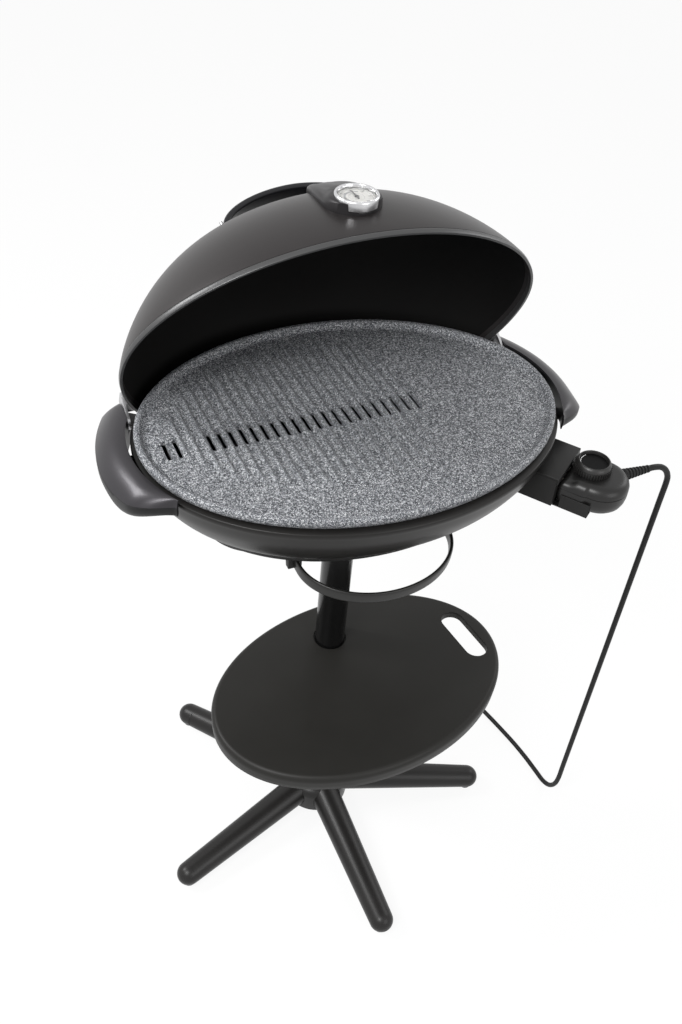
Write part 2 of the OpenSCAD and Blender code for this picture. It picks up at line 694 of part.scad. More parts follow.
// Width of a side handle at an angle round the oval
function handle_reach(t) = let (y = handle_b * sin(t), front = handle_b * sin(handle_front), rear = handle_b * sin(handle_rear))
    (handle_w + 0.05 * y)
    * (y < front + 45 ? max(0.1, sin(90 * (y - front) / 45)) : 1)
    * (y > rear - 16 ? max(0.3, sqrt(1 - pow((y - rear + 16) / 16.5, 2))) : 1);

// Section of a side handle: outward distance and height, placed at its angle
function handle_ring(t, section) =
    let (p = [handle_a * cos(t), handle_b * sin(t), 0], n = unit([cos(t) / handle_a, sin(t) / handle_b, 0]))
    [for (q = section) p + q[0] * n + [0, 0, q[1]]];

function crown(k) = handle_split_z + (handle_top_z - handle_split_z) * (1 - pow(k, 2.3));
crown_steps = [0, 0.25, 0.5, 0.7, 0.85, 0.95, 1];
function base_section(w) = concat(
    [[0, handle_low_z + 6], [0, handle_top_z - handle_shell - 0.2]],
    [for (k = [0.25, 0.5, 0.7, 0.85, 0.95]) [k * (w - handle_shell * min(1, w / 9) - 0.2), crown(k) - handle_shell - 0.2]],
    [[w - handle_shell * min(1, w / 9) - 0.2, handle_split_z - 0.2], [w, handle_split_z - 0.2], [w, handle_split_z - 6],
    [0.88 * w, handle_low_z + 8], [0.6 * w, handle_low_z]]);
function top_section(w) = concat(
    [for (k = crown_steps) [k * w, crown(k)]],
    [for (k = [1 : -1 : 0]) let (s = handle_shell * min(1, w / 9)) each k == 1
        ? [[w - s, handle_split_z], [0.95 * (w - s), crown(0.95) - handle_shell], [0.85 * (w - s), crown(0.85) - handle_shell],
            [0.7 * (w - s), crown(0.7) - handle_shell], [0.5 * (w - s), crown(0.5) - handle_shell]]
        : [[0.25 * (w - s), crown(0.25) - handle_shell], [0, handle_top_z - handle_shell]]]);

handle_stops = [for (i = [0 : 22]) handle_front + (handle_rear - handle_front) * i / 22];

module handle_base() {
    difference() {
        union() {
            loft([for (t = handle_stops) handle_ring(t, base_section(handle_reach(t)))]);
            for (y = handle_boss_y) translate([bowl_a - 40, y - 9, boss_top_z - 8]) cube([44, 18, 8]);
        }
        translate([0, 0, bowl_rim_z - 60]) linear_extrude(80) wall_outline();
        pivot_room();
        translate([cheek_x - 1, pivot_y, pivot_z]) rotate([0, 90, 0]) cylinder(h = 2.2 + pin_hold, r = pivot_d / 2 + pivot_clear, $fn = 48);
        for (y = handle_boss_y) translate([boss_x(y), y, boss_top_z - 9]) cylinder(h = 10, d = 4 + 2 * fit, $fn = 24);
    }
}

boss_top_z = bowl_rim_z - 17;

// Middle of the gap between the bowl's wall and a handle
function boss_x(y) = (reach_at(bowl_a - 4, bowl_b - 4, y) + reach_at(handle_a, handle_b, y)) / 2;

// Outline of the bowl's wall where the handles' bosses meet it
module wall_outline() {
    polygon([for (p = even(bowl_a - 4, bowl_b - 4, 0)) [p[0], p[1]]]);
}

module pivot_room() {
    translate([cheek_x - 60, pivot_y, pivot_z]) rotate([0, 90, 0]) cylinder(h = 60, r = ear_swing);
}

module handle_top() {
    difference() {
        loft([for (t = handle_stops) handle_ring(t, top_section(handle_reach(t)))]);
        pivot_room();
    }
}

module right_handle_base() { color("#101113") handle_base(); }
module left_handle_base() { color("#101113") mirror([1, 0, 0]) handle_base(); }
module right_handle_top() { color("#3b3e43") handle_top(); }
module left_handle_top() { color("#3b3e43") mirror([1, 0, 0]) handle_top(); }

module handle_screws() {
    color("#6d6f72") for (m = [0, 1], y = handle_boss_y) mirror([m, 0, 0])
        translate([boss_x(y), y, boss_top_z]) screw(4, 8, 8);
}

module socket_housing() {
    color("#161718") difference() {
        at_control() translate([-112, housing_mid - housing_w / 2, housing_low])
            cube([112 + housing_front, housing_w, housing_top - housing_low]);
        bowl_solid();
        at_control() for (t = terminal_t) translate([-112, t, terminal_z]) rotate([0, 90, 0])
            cylinder(h = 90, r = tube_r + 0.6, $fn = 32);
        at_control() translate([-112, housing_mid, terminal_z]) rotate([0, 90, 0]) cylinder(h = 90, r = 3.4, $fn = 32);
    }
}

module socket_cover() {
    color("#2a2c2f") difference() {
        at_control() {
            translate([-80, housing_mid - housing_w / 2, housing_top]) cube([80 + housing_front + 2, housing_w, cover_t]);
            translate([housing_front, housing_mid - housing_w / 2, housing_top - 6]) cube([2, housing_w, 6]);
        }
        bowl_solid();
    }
}

module control_outline(inset) {
    translate(control_mid) circle(r = control_r - inset);
    translate([housing_front + fit + inset, housing_mid - neck_w / 2 + inset])
        square([control_mid[0] - housing_front, neck_w - 2 * inset]);
}

module thermostat_shield() {
    low = control_z - shield_t;
    left = control_mid[1] - control_r - 2;
    wide = 2 * control_r + 2;
    color("#3a3c3f") at_control() {
        translate([-66, left - shield_t, low]) cube([84, wide, shield_t]);
        translate([-20, left - shield_t, low]) cube([38, shield_t, 20]);
        translate([-66, left - shield_t, low]) cube([34, 3, housing_low - low]);
    }
}

module controller_base() {
    color("#141517") difference() {
        at_control() translate([0, 0, control_z]) linear_extrude(control_base_h) control_outline(0);
        at_control() translate([0, 0, control_z + 3]) linear_extrude(control_base_h)
            difference() {
                control_outline(control_wall);
                translate([housing_front - 1, -100]) square([14, 200]);
            }
        terminal_bores();
        relief_hole(5.5);
    }
}

// Bores in the thermostat for the terminals and the probe
module terminal_bores() {
    at_control() translate([housing_front - 1, 0, terminal_z]) rotate([0, 90, 0]) {
        for (t = terminal_t) translate([0, t, 0]) cylinder(h = 14, r = tube_r + 0.3, $fn = 32);
        translate([0, housing_mid, 0]) cylinder(h = 14, r = 2.5 + fit, $fn = 32);
    }
}

module relief_hole(r) {
    translate([control_x + 20, relief_y, relief_z]) rotate([0, 90, 0]) cylinder(h = 60, r = r, $fn = 32);
}

module controller_top() {
    c = control_mid;
    color("#1b1c1f") difference() {
        at_control() union() {
            translate([c[0], c[1], split_z]) rotate_extrude() polygon(concat([[0, 0], [control_r, 0]],
                [for (a = [0 : 15 : 90]) [control_r - 8 + 8 * cos(a), control_top_h - 8 + 8 * sin(a)]], [[0, control_top_h]]));
            translate([housing_front + fit, housing_mid - neck_w / 2, split_z]) cube([20, neck_w, housing_top - 7 - split_z]);
        }
        at_control() translate([c[0], c[1], split_z - 1]) cylinder(h = control_top_h - 2, r = control_r - control_wall - 3);
        at_control() translate([0, 0, split_z]) cylinder(h = 40, r = shaft_d / 2 + 0.05, $fn = 48);
        relief_hole(5.5);
        terminal_bores();
    }
}

module thermostat_switch() {
    color("#b8a487") at_control() difference() {
        translate([-10, -14, control_z + 3]) cube([26, 28, control_base_h - 2]);
        translate([0, 0, control_z + 8]) cylinder(h = 40, r = shaft_d / 2 + 0.05, $fn = 48);
    }
}

module heat_probe() {
    color("#a7a9ab") at_control() {
        translate([-92, housing_mid, terminal_z]) sphere(r = 2.5, $fn = 24);
        translate([-92, housing_mid, terminal_z]) rotate([0, 90, 0]) cylinder(h = 92 + housing_front + 12, r = 2.5, $fn = 24);
    }
}

module knob_shaft() {
    color("#a7a9ab") at_control() translate([0, 0, control_z + 8.5])
        cylinder(h = control_top_z - control_z + knob_h - 8.5 - 5, d = shaft_d, $fn = 48);
}

module control_knob() {
    grips = 40;
    r = knob_d / 2;
    color("#4a4d52") at_control() translate([0, 0, control_top_z + 0.4]) difference() {
        union() {
            linear_extrude(knob_h - 3) polygon([for (i = [0 : 2 * grips - 1])
                (r - (i % 2) * 0.8) * [cos(180 * i / grips), sin(180 * i / grips)]]);
            rotate_extrude() polygon([[0, 0], [r - 1.2, 0], [r - 1.2, knob_h - 1.6], [r - 2.4, knob_h],
                [r - 5, knob_h], [r - 6, knob_h - 1.8], [0, knob_h - 1.8]]);
        }
        translate([0, 0, -1]) cylinder(h = knob_h - 4.4, r = shaft_d / 2, $fn = 48);
        difference() {
            translate([0, 0, -1]) cylinder(h = knob_h - 3, r = r - 3);
            translate([0, 0, -2]) cylinder(h = knob_h, r = shaft_d / 2 + 3);
        }
    }
}

module cord_relief() {
    start = control_x + 44;
    ribs = 6;
    color("#0f1011") translate([start, relief_y, relief_z]) rotate([0, 90, 0]) rotate_extrude() polygon(concat(
        [[0, -8], [5.3, -8], [5.3, 0], [relief_d / 2, 0]],
        [for (i = [0 : ribs - 1]) let (z = relief_l * (i + 0.35) / ribs, r = relief_d / 2 - 2.6 * i / ribs)
            each [[r, z], [r - 1.3, z + 1.4], [r - 1.3, z + 3], [r - 0.4, z + 4]]],
        [[cord_d / 2 + 1, relief_l], [0, relief_l]]));
}

module cord_run() {
    color("#0f1011") tube(curve(cord_route, 2), cord_d / 2, 8);
}

// Coil: spirals in on the floor, climbs a layer while it turns back, and spirals out above
function coil_at(s) =
    let (turn = coil_turns * s, back = min(turn, coil_turns - turn),
        climb = min(1, max(0, (turn - coil_turns / 2) / 0.5 + 0.5)), r = coil_r - coil_pitch * back)
    [coil_mid[0] + r * cos(360 * turn), coil_mid[1] + r * sin(360 * turn), floor_z + coil_rise * climb];
coil_steps = round(24 * coil_turns);
function coil_path() = concat([coil_at(0) - [0, cord_d, 0]], [for (i = [0 : coil_steps]) coil_at(i / coil_steps)],
    [coil_at(1) + [0, -cord_d, 0]]);

module cord_coil() {
    p = coil_path();
    apart = min([for (i = [0 : len(p) - 1], j = [i + 8 : 1 : len(p) - 1]) norm(p[i] - p[j])]) - cord_d;
    echo(coil_least_gap = apart);
    color("#0f1011") tube(p, cord_d / 2, 6);
}

module cord_tail() {
    color("#0f1011") tube(curve(tail_route, 2), cord_d / 2, 8);
}

module plug_body() {
    end = tail_route[len(tail_route) - 1];
    color("#0f1011") translate([end[0], end[1], 0]) {
        translate([0, 0, end[2]]) rotate([0, 90, 0]) cylinder(h = 14, r1 = 6, r2 = 8, $fn = 24);
        translate([12, -plug_w / 2, 0.2]) cube([plug_l - 12, plug_w, plug_t - 0.4]);
    }
}

module plug_pins() {
    end = tail_route[len(tail_route) - 1];
    color("#b59b57") for (s = [-1, 1]) translate([end[0] + plug_l, end[1] + s * 6.35 - 0.75, plug_t / 2 - 3.2])
        cube([17, 1.5, 6.4]);
}

// Height of the dome's surface at a share r of the way from its middle to its rim
function dome_rise(r) = dome_z + dome_h * pow(max(0, 1 - pow(r, dome_low)), dome_side);
function dome_ring(r, t) = oval(plate_a * r - t * min(1, 1.2 * r), lid_front * r - t * min(1, 1.2 * r),
    lid_back * r - t * min(1, 1.2 * r), dome_rise(r) - t * (1 - 0.75 * pow(r, 4)));
dome_steps = [0.9966, 0.985, 0.96, 0.92, 0.86, 0.77, 0.64, 0.46, 0.24, 0.06];

function lid_outer() = concat(
    [oval(plate_a, lid_front, lid_back, lid_z), oval(plate_a, lid_front, lid_back, lid_z + band_h - 1.5)],
    [for (r = dome_steps) dome_ring(r, 0)]);

module lid_solid() {
    loft(lid_outer());
}

// Lid pieces are drawn shut and tilted open about the pivots
module lid_open() {
    translate([0, pivot_y, pivot_z]) rotate([-lid_angle, 0, 0]) translate([0, -pivot_y, -pivot_z]) children();
}

module lid_shell() {
    inner = [for (i = [len(dome_steps) - 1 : -1 : 0]) dome_ring(dome_steps[i], lid_wall)];
    edge = oval(plate_a * 0.9966 - lid_wall, lid_front * 0.9966 - lid_wall, lid_back * 0.9966 - lid_wall, lid_z + band_h);
    outer_edge = oval(plate_a * 0.9966, lid_front * 0.9966, lid_back * 0.9966, lid_z + band_h);
    color("#2f3236") lid_open() difference() {
        loft(concat([for (i = [0 : len(inner) - 2]) inner[i]], [edge, outer_edge],
            [for (i = [1 : len(dome_steps) - 1]) dome_ring(dome_steps[i], 0)]));
        at_gauge() translate([0, 0, -60]) cylinder(h = 80, d = stem_d + 0.6);
        for (s = [-1, 1]) translate(dome_point(s * lid_grip_span, grip_y, 0)) along(dome_normal(s * lid_grip_span, grip_y))
            cylinder(h = 20, d = 5, center = true, $fn = 24);
    }
}

module lid_rim() {
    a = plate_a;
    w = 3.5;
    color("#565a60") lid_open() loft_round([
        oval(a, lid_front, lid_back, lid_z), oval(a, lid_front, lid_back, lid_z + band_h - 1.5),
        oval(a - 0.9, lid_front - 0.9, lid_back - 0.9, lid_z + band_h),
        oval(a - w, lid_front - w, lid_back - w, lid_z + band_h), oval(a - w, lid_front - w, lid_back - w, lid_z)]);
}

module lid_ears() {
    color("#8e9093") lid_open() for (m = [0, 1]) mirror([m, 0, 0]) difference() {
        translate([ear_x - 12, 0, 0]) rotate([90, 0, 90]) linear_extrude(12 + ear_t) union() {
            translate([pivot_y, pivot_z]) circle(r = ear_r);
            polygon([[pivot_y - ear_r, pivot_z], [pivot_y + ear_r, pivot_z], [pivot_y + 8, lid_z + 16],
                [pivot_y - 14, lid_z + 16]]);
        }
        translate([0, 0, lid_z]) linear_extrude(40) polygon([for (p = oval(plate_a, lid_front, lid_back, 0)) [p[0], p[1]]]);
        translate([ear_x - 40, pivot_y - 40, pivot_z - 60]) cube([40, 80, lid_z - pivot_z + 60]);
        translate([ear_x - 1, pivot_y, pivot_z]) rotate([0, 90, 0]) cylinder(h = 10, r = pivot_d / 2, $fn = 48);
    }
}

module pivot_pins() {
    color("#b4b6b8") for (m = [0, 1]) mirror([m, 0, 0]) translate([ear_x - 0.2, pivot_y, pivot_z]) rotate([0, 90, 0])
        cylinder(h = 0.2 + ear_t + ear_gap + pin_hold, d = pivot_d, $fn = 48);
}

grip_y = -49;
grip_top_z = lid_z + 187;
grip_foot_z = dome_rise(norm([lid_grip_span / plate_a, grip_y / lid_front]));

function grip_point(t) = let (c = cos(t), s = sin(t), n = 2 / 1.8)
    [lid_grip_span * sign(c) * pow(abs(c), n), grip_y, grip_foot_z - 4 + (grip_top_z - grip_foot_z + 4) * pow(max(s, 0), n)];

module lid_handle() {
    arch = [for (i = [0 : 28]) grip_point(180 - 180 * i / 28)];
    side = [for (i = [0 : len(arch) - 1]) heading(arch, i)];
    w = lid_grip_w / 2;
    h = lid_grip_t / 2;
    section = [[-h, -w + 2], [-h, w - 2], [-h + 2, w], [h - 2, w], [h, w - 3], [h, -w + 3], [h - 2, -w], [-h + 2, -w]];
    color("#15161a") lid_open() difference() {
        loft([for (i = [0 : len(arch) - 1]) let (up = cross(side[i], [0, 1, 0]))
            [for (q = section) arch[i] - q[0] * up + q[1] * [0, 1, 0]]]);
        for (s = [-1, 1]) translate(dome_point(s * lid_grip_span, grip_y, 0.3)) along(dome_normal(s * lid_grip_span, grip_y)) {
            translate([0, 0, -30]) cylinder(h = 30, r = 40);
            cylinder(h = 13, d = 4 + fit, $fn = 24);
        }
    }
}

module lid_handle_screws() {
    color("#6d6f72") lid_open() for (s = [-1, 1]) translate(dome_point(s * lid_grip_span, grip_y, 0))
        along(dome_normal(s * lid_grip_span, grip_y)) translate([0, 0, -lid_wall - 1.1]) rotate([180, 0, 0]) screw(4, 14, 9);
}

// Thermometer frame: z runs out of the dial, origin at the bezel's middle on its front
module at_gauge() {
    translate([0, gauge_y, gauge_z]) rotate([gauge_tilt, 0, 0]) children();
}

// Outward direction of the front half of the dome
function dome_normal(x, y) =
    let (r = norm([x / plate_a, y / lid_front]), step = 0.002,
        slope = (dome_rise(r + step) - dome_rise(r - step)) / (2 * step))
    unit([-slope * x / (plate_a * plate_a * r), -slope * y / (lid_front * lid_front * r), 1]);

// Point at a height over the front half of the dome
function dome_point(x, y, out) = [x, y, dome_rise(norm([x / plate_a, y / lid_front]))] + out * dome_normal(x, y);

// Turns upright children along a direction
module along(n) {
    rotate([0, acos(n[2]), atan2(n[1], n[0])]) children();
}

// Teardrop outline: a round end about the thermometer and a straight-sided tip
function boss_outline(k) = [for (i = [0 : 31]) let (t = 360 * i / 32, c = cos(t), s = sin(t))
    [boss_w * k * c * (s > 0 ? pow(1 - s, 0.25) : 1), 58 + k * (s > 0 ? -34 * s : -12 * s)]];

module thermometer_boss() {
    color("#33363a") lid_open() difference() {
        loft([for (q = [[1, -4], [1, boss_h - 3], [0.97, boss_h - 1], [0.9, boss_h], [0.5, boss_h], [0.1, boss_h]])
            [for (p = boss_outline(q[0])) dome_point(p[0], -lid_front * sin(p[1]), q[1])]]);
        lid_solid();
        at_gauge() translate([0, 0, 1 - gauge_h]) cylinder(h = 60, d = gauge_d + 2 * fit);
        at_gauge() translate([0, 0, -gauge_h]) cylinder(h = 2, d = gauge_d - 2 * bezel_w + 2 * fit);
        at_gauge() translate([0, 0, -60]) cylinder(h = 80, d = stem_d + 0.6);
    }
}

module gauge_case() {
    r = gauge_d / 2 - bezel_w;
    color("#2a2c2f") lid_open() at_gauge() difference() {
        translate([0, 0, -gauge_h]) cylinder(h = gauge_h - 3, r = r - fit);
        translate([0, 0, -gauge_h + 2]) cylinder(h = gauge_h, r = r - 2);
        translate([0, 0, -gauge_h - 1]) cylinder(h = 10, d = stem_d + 0.2);
    }
}

module gauge_bezel() {
    r = gauge_d / 2;
    color("#c9cbce") lid_open() at_gauge() rotate_extrude() polygon([[r - bezel_w, 1 - gauge_h], [r - 0.6, 1 - gauge_h],
        [r, 2 - gauge_h], [r, -1.6], [r - 1.6, 0], [r - 3.4, -0.6], [r - bezel_w - 2, -2.8], [r - bezel_w, -2.8]]);
}

module gauge_dial() {
    color("#ece9e0") lid_open() at_gauge() difference() {
        translate([0, 0, -7]) cylinder(h = 0.8, r = gauge_d / 2 - bezel_w - 2 - fit);
        translate([0, 0, -8]) cylinder(h = 4, d = 2.2, $fn = 24);
    }
}

module gauge_needle() {
    color("#1a1a1c") lid_open() at_gauge() {
        translate([0, 0, -10.8]) cylinder(h = 6, d = 2, $fn = 24);
        translate([0, 0, -5.6]) cylinder(h = 1, d = 5, $fn = 24);
        translate([0, 0, -5.6]) linear_extrude(0.5) polygon([[-1.1, 0], [-0.25, 16], [0.25, 16], [1.1, 0], [0.8, -6], [-0.8, -6]]);
    }
}

module gauge_glass() {
    color("#dfe6ea", 0.35) lid_open() at_gauge() translate([0, 0, -4.2])
        cylinder(h = 1.4, r = gauge_d / 2 - bezel_w - 2 - fit);
}

module gauge_stem() {
    color("#a7a9ab") lid_open() at_gauge() {
        translate([0, 0, -gauge_h - 44]) sphere(d = stem_d, $fn = 24);
        translate([0, 0, -gauge_h - 44]) cylinder(h = 45, d = stem_d, $fn = 24);
    }
}

module stem_nut() {
    color("#a7a9ab") lid_open() at_gauge() translate([0, 0, -nut_down - 5]) difference() {
        cylinder(h = 5, d = 13, $fn = 6);
        translate([0, 0, -1]) cylinder(h = 7, d = stem_d + 0.1);
    }
}

base_hub();
base_legs();
leg_caps();
foot_pads();
pole_bolt();
pole_tube();
shelf_collar();
shelf();
shelf_screws();
pole_socket();
socket_screws();
bottom_pan();
tray_runners();
grease_tray();
rail_lugs();
utensil_rail();
bowl();
heat_reflector();
grill_plate();
heating_element();
element_clips();
right_handle_base();
right_handle_top();
left_handle_base();
left_handle_top();
handle_screws();
socket_housing();
socket_cover();
thermostat_shield();
controller_base();
controller_top();
thermostat_switch();
heat_probe();
knob_shaft();
control_knob();
cord_relief();
cord_run();
cord_coil();
cord_tail();
plug_body();
plug_pins();
lid_shell();
lid_rim();
lid_ears();
pivot_pins();
lid_handle();
lid_handle_screws();
thermometer_boss();
gauge_case();
gauge_bezel();
gauge_dial();
gauge_needle();
gauge_glass();
gauge_stem();
stem_nut();
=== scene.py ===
# Pedestal electric grill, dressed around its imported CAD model. Shapes are worked out in millimetres.
import json
import math

import bmesh
import bpy
from mathutils import Matrix, Vector

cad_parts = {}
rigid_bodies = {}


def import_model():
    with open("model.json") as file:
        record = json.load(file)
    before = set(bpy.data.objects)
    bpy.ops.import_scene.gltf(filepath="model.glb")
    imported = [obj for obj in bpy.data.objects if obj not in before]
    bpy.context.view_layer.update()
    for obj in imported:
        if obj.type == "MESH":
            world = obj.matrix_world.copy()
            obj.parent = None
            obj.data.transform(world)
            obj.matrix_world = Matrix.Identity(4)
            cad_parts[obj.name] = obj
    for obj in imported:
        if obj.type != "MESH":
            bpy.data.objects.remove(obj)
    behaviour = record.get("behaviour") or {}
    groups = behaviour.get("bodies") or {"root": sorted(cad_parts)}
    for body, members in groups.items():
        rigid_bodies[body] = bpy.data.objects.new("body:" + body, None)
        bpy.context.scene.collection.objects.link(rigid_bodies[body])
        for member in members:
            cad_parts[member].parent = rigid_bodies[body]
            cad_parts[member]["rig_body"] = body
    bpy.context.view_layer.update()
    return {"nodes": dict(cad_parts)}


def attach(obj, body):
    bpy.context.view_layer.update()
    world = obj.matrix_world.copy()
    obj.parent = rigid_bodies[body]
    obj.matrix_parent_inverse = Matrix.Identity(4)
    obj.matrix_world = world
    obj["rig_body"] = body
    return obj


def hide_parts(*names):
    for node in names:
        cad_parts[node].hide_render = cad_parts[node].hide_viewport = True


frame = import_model()
nodes = frame["nodes"]
mm = 0.001


# Camera

def linked(name, data):
    obj = bpy.data.objects.new(name, data)
    bpy.context.scene.collection.objects.link(obj)
    return obj


cameraView = {"place": (-488.3, -935.2, 1594.5), "azimuth": -27.5, "elevation": 41.67, "roll": 5.58,
        "lens": 37.03}


def placeCamera(view):
    a, e, r = (math.radians(view[k]) for k in ("azimuth", "elevation", "roll"))
    back = Vector((math.sin(a) * math.cos(e), -math.cos(a) * math.cos(e), math.sin(e)))
    right = Vector((math.cos(a), math.sin(a), 0))
    up = back.cross(right)
    turned = right * math.cos(r) + up * math.sin(r)
    upright = up * math.cos(r) - right * math.sin(r)
    camera = linked("camera", bpy.data.cameras.new("camera"))
    camera.matrix_world = Matrix((turned, upright, back)).transposed().to_4x4()
    camera.location = Vector(view["place"]) * mm
    camera.data.lens = view["lens"]
    camera.data.sensor_width = 36
    bpy.context.scene.camera = camera


placeCamera(cameraView)
print("camera placed")


# Node graphs: the same few lines write shader maths and geometry maths

class Wire:
    def __init__(self, graph, socket):
        self.graph, self.socket = graph, socket

    def maths(self, operation, *others):
        return self.graph.node("ShaderNodeMath", {"operation": operation}, dict(enumerate(others)))

    def __add__(self, other):
        return self.maths("ADD", self, other)

    def __radd__(self, other):
        return self.maths("ADD", other, self)

    def __sub__(self, other):
        return self.maths("SUBTRACT", self, other)

    def __rsub__(self, other):
        return self.maths("SUBTRACT", other, self)

    def __mul__(self, other):
        return self.maths("MULTIPLY", self, other)

    def __rmul__(self, other):
        return self.maths("MULTIPLY", other, self)

    def __truediv__(self, other):
        return self.maths("DIVIDE", self, other)

    def __lt__(self, other):
        return self.maths("LESS_THAN", self, other)

    def __gt__(self, other):
        return self.maths("GREATER_THAN", self, other)


class Graph:
    def __init__(self, tree):
        self.tree = tree

    def node(self, kind, settings=None, sockets=None, out=0):
        made = self.tree.nodes.new(kind)
        for key, value in (settings or {}).items():
            if key == "stops":
                while len(made.color_ramp.elements) < len(value):
                    made.color_ramp.elements.new(0.5)
                for element, (place, colour) in zip(made.color_ramp.elements, value):
                    element.position, element.color = place, (*colour, 1)
            else:
                setattr(made, key, value)
        for key, value in (sockets or {}).items():
            self.feed(made.inputs[key], value)
        made.select = False
        return Wire(self, made.outputs[out]) if made.outputs else made

    def feed(self, socket, value):
        if isinstance(value, Wire):
            self.tree.links.new(value.socket, socket)
        elif hasattr(socket, "default_value"):
            socket.default_value = value


# Finishes

finishes = {}


def newFinish(name, **shader):
    material = finishes[name] = bpy.data.materials.new(name)
    material.use_nodes = True
    graph = Graph(material.node_tree)
    body = material.node_tree.nodes["Principled BSDF"]
    for key, value in shader.items():
        body.inputs[key.replace("_", " ")].default_value = value
    return material, graph, body


def pattern(graph, scale, stretch=(1, 1, 1), detail=2.0, texture="ShaderNodeTexNoise"):
    where = graph.node("ShaderNodeTexCoord", out="Object")
    where = graph.node("ShaderNodeMapping", None, {"Vector": where, "Scale": stretch})
    sockets = {"Vector": where, "Scale": scale}
    if texture == "ShaderNodeTexNoise":
        sockets["Detail"] = detail
    return graph.node(texture, None, sockets)


def blendColours(graph, factor, low, high):
    return graph.node("ShaderNodeMix", {"data_type": "RGBA"},
            {"Factor": factor, "A": (*low, 1), "B": (*high, 1)}, out="Result")


def bump(graph, body, height, strength, distance):
    lifted = graph.node("ShaderNodeBump", None,
            {"Height": height, "Strength": strength, "Distance": distance * mm})
    graph.feed(body.inputs["Normal"], lifted)


def moulding(name, colour, roughness, grain=900, depth=0.05, drift=0.25, coat=0.0, gloss=0.22):
    material, graph, body = newFinish(name, Coat_Weight=coat, Coat_Roughness=0.12, Specular_IOR_Level=gloss)
    fine = pattern(graph, grain, detail=3)
    broad = pattern(graph, 14, detail=3)
    pale = tuple(min(1, c * (1 + drift) + 0.002) for c in colour)
    dark = tuple(c * (1 - drift) for c in colour)
    graph.feed(body.inputs["Base Color"], blendColours(graph, broad * 0.7 + fine * 0.3, dark, pale))
    graph.feed(body.inputs["Roughness"], roughness - 0.06 + broad * 0.08 + fine * 0.04)
    bump(graph, body, fine, 0.35, depth)


def lacquer(name, colour, roughness, flake, metallic=0.35, coat=0.1, depth=0.004, gloss=0.35):
    material, graph, body = newFinish(name, Metallic=metallic, Coat_Weight=coat, Coat_Roughness=0.15,
            Specular_IOR_Level=gloss)
    flakes = pattern(graph, 2600, texture="ShaderNodeTexVoronoi")
    broad = pattern(graph, 9, detail=3)
    sparkle = (flakes < 0.22) * 0.6 + broad * 0.4
    graph.feed(body.inputs["Base Color"], blendColours(graph, sparkle, colour, flake))
    graph.feed(body.inputs["Roughness"], roughness - 0.03 + broad * 0.06)
    bump(graph, body, pattern(graph, 320, detail=1), 0.15, depth)


def metal(name, colour, roughness, stretch=(1, 1, 12), depth=0.01):
    material, graph, body = newFinish(name, Metallic=1.0)
    lines = pattern(graph, 260, stretch, 4)
    stain = pattern(graph, 22, detail=3)
    pale = tuple(min(1, c * 1.08) for c in colour)
    dark = tuple(c * 0.82 for c in colour)
    graph.feed(body.inputs["Base Color"], blendColours(graph, lines * 0.5 + stain * 0.5, dark, pale))
    graph.feed(body.inputs["Roughness"], roughness - 0.05 + lines * 0.1)
    bump(graph, body, lines, 0.2, depth)


def speckledCoating(name, tones):
    material, graph, body = newFinish(name, Specular_IOR_Level=0.4)
    fine = pattern(graph, tones["fine"], detail=3)
    coarse = pattern(graph, tones["coarse"], detail=1)
    mixed = fine * 0.72 + coarse * 0.28
    colour = graph.node("ShaderNodeValToRGB", {"stops": tones["stops"]}, {"Fac": mixed}, out="Color")
    graph.feed(body.inputs["Base Color"], colour)
    graph.feed(body.inputs["Roughness"], 0.5 + fine * 0.2)
    bump(graph, body, mixed, 0.4, 0.12)


speckledCoating("plateCoating", {"fine": 950, "coarse": 420, "stops": [
    (0.39, (0.010, 0.011, 0.013)), (0.46, (0.055, 0.059, 0.067)), (0.54, (0.20, 0.207, 0.222)),
    (0.63, (0.62, 0.63, 0.64))]})
lacquer("lidEnamel", (0.019, 0.017, 0.017), 0.37, (0.042, 0.038, 0.038), 0.4, 0.0)
moulding("lidLining", (0.0035, 0.0033, 0.0032), 0.6, 500, 0.08, gloss=0.12)
# Rim band: lacquer painted lighter than the dome, a painted highlight along the lid's edge
lacquer("rimBandPaintedHighlight", (0.055, 0.055, 0.056), 0.34, (0.09, 0.09, 0.09), 0.5, 0.0)
lacquer("bossEnamel", (0.013, 0.012, 0.013), 0.4, (0.028, 0.026, 0.027), 0.3, 0.0)
lacquer("bowlEnamel", (0.0075, 0.007, 0.0065), 0.36, (0.014, 0.013, 0.012), 0.15, 0.0, gloss=0.28)
lacquer("handleLacquer", (0.026, 0.0245, 0.0275), 0.33, (0.060, 0.057, 0.062), 0.55, 0.1)
moulding("handleBlack", (0.0045, 0.0045, 0.0048), 0.42)
moulding("controlBlack", (0.0075, 0.0072, 0.007), 0.36, 1100, 0.03, gloss=0.35)
moulding("coverCharcoal", (0.010, 0.0098, 0.0095), 0.45, 1100, 0.04)
moulding("knobGraphite", (0.014, 0.0135, 0.013), 0.36, 1200, 0.02, gloss=0.4)
moulding("knobWell", (0.0015, 0.0015, 0.0015), 0.4, 900, 0.01, gloss=0.08)
moulding("matteBlack", (0.0065, 0.0063, 0.006), 0.5)
moulding("shelfCharcoal", (0.0105, 0.010, 0.0088), 0.45, 1300, 0.05, 0.15)
moulding("legBlack", (0.0078, 0.0072, 0.0068), 0.36, 1300, 0.03, gloss=0.3)
moulding("poleEnamel", (0.003, 0.003, 0.003), 0.25, 300, 0.01, 0.2, 0.15, 0.3)
moulding("railBlack", (0.0068, 0.0065, 0.0058), 0.34, 1300, 0.03, gloss=0.35)
moulding("padRubber", (0.007, 0.007, 0.007), 0.75, 1500, 0.08)
moulding("cordRubber", (0.0055, 0.0055, 0.0055), 0.5, 1500, 0.03)
moulding("gripBlack", (0.0065, 0.0065, 0.008), 0.36, 1100, 0.03, gloss=0.3)
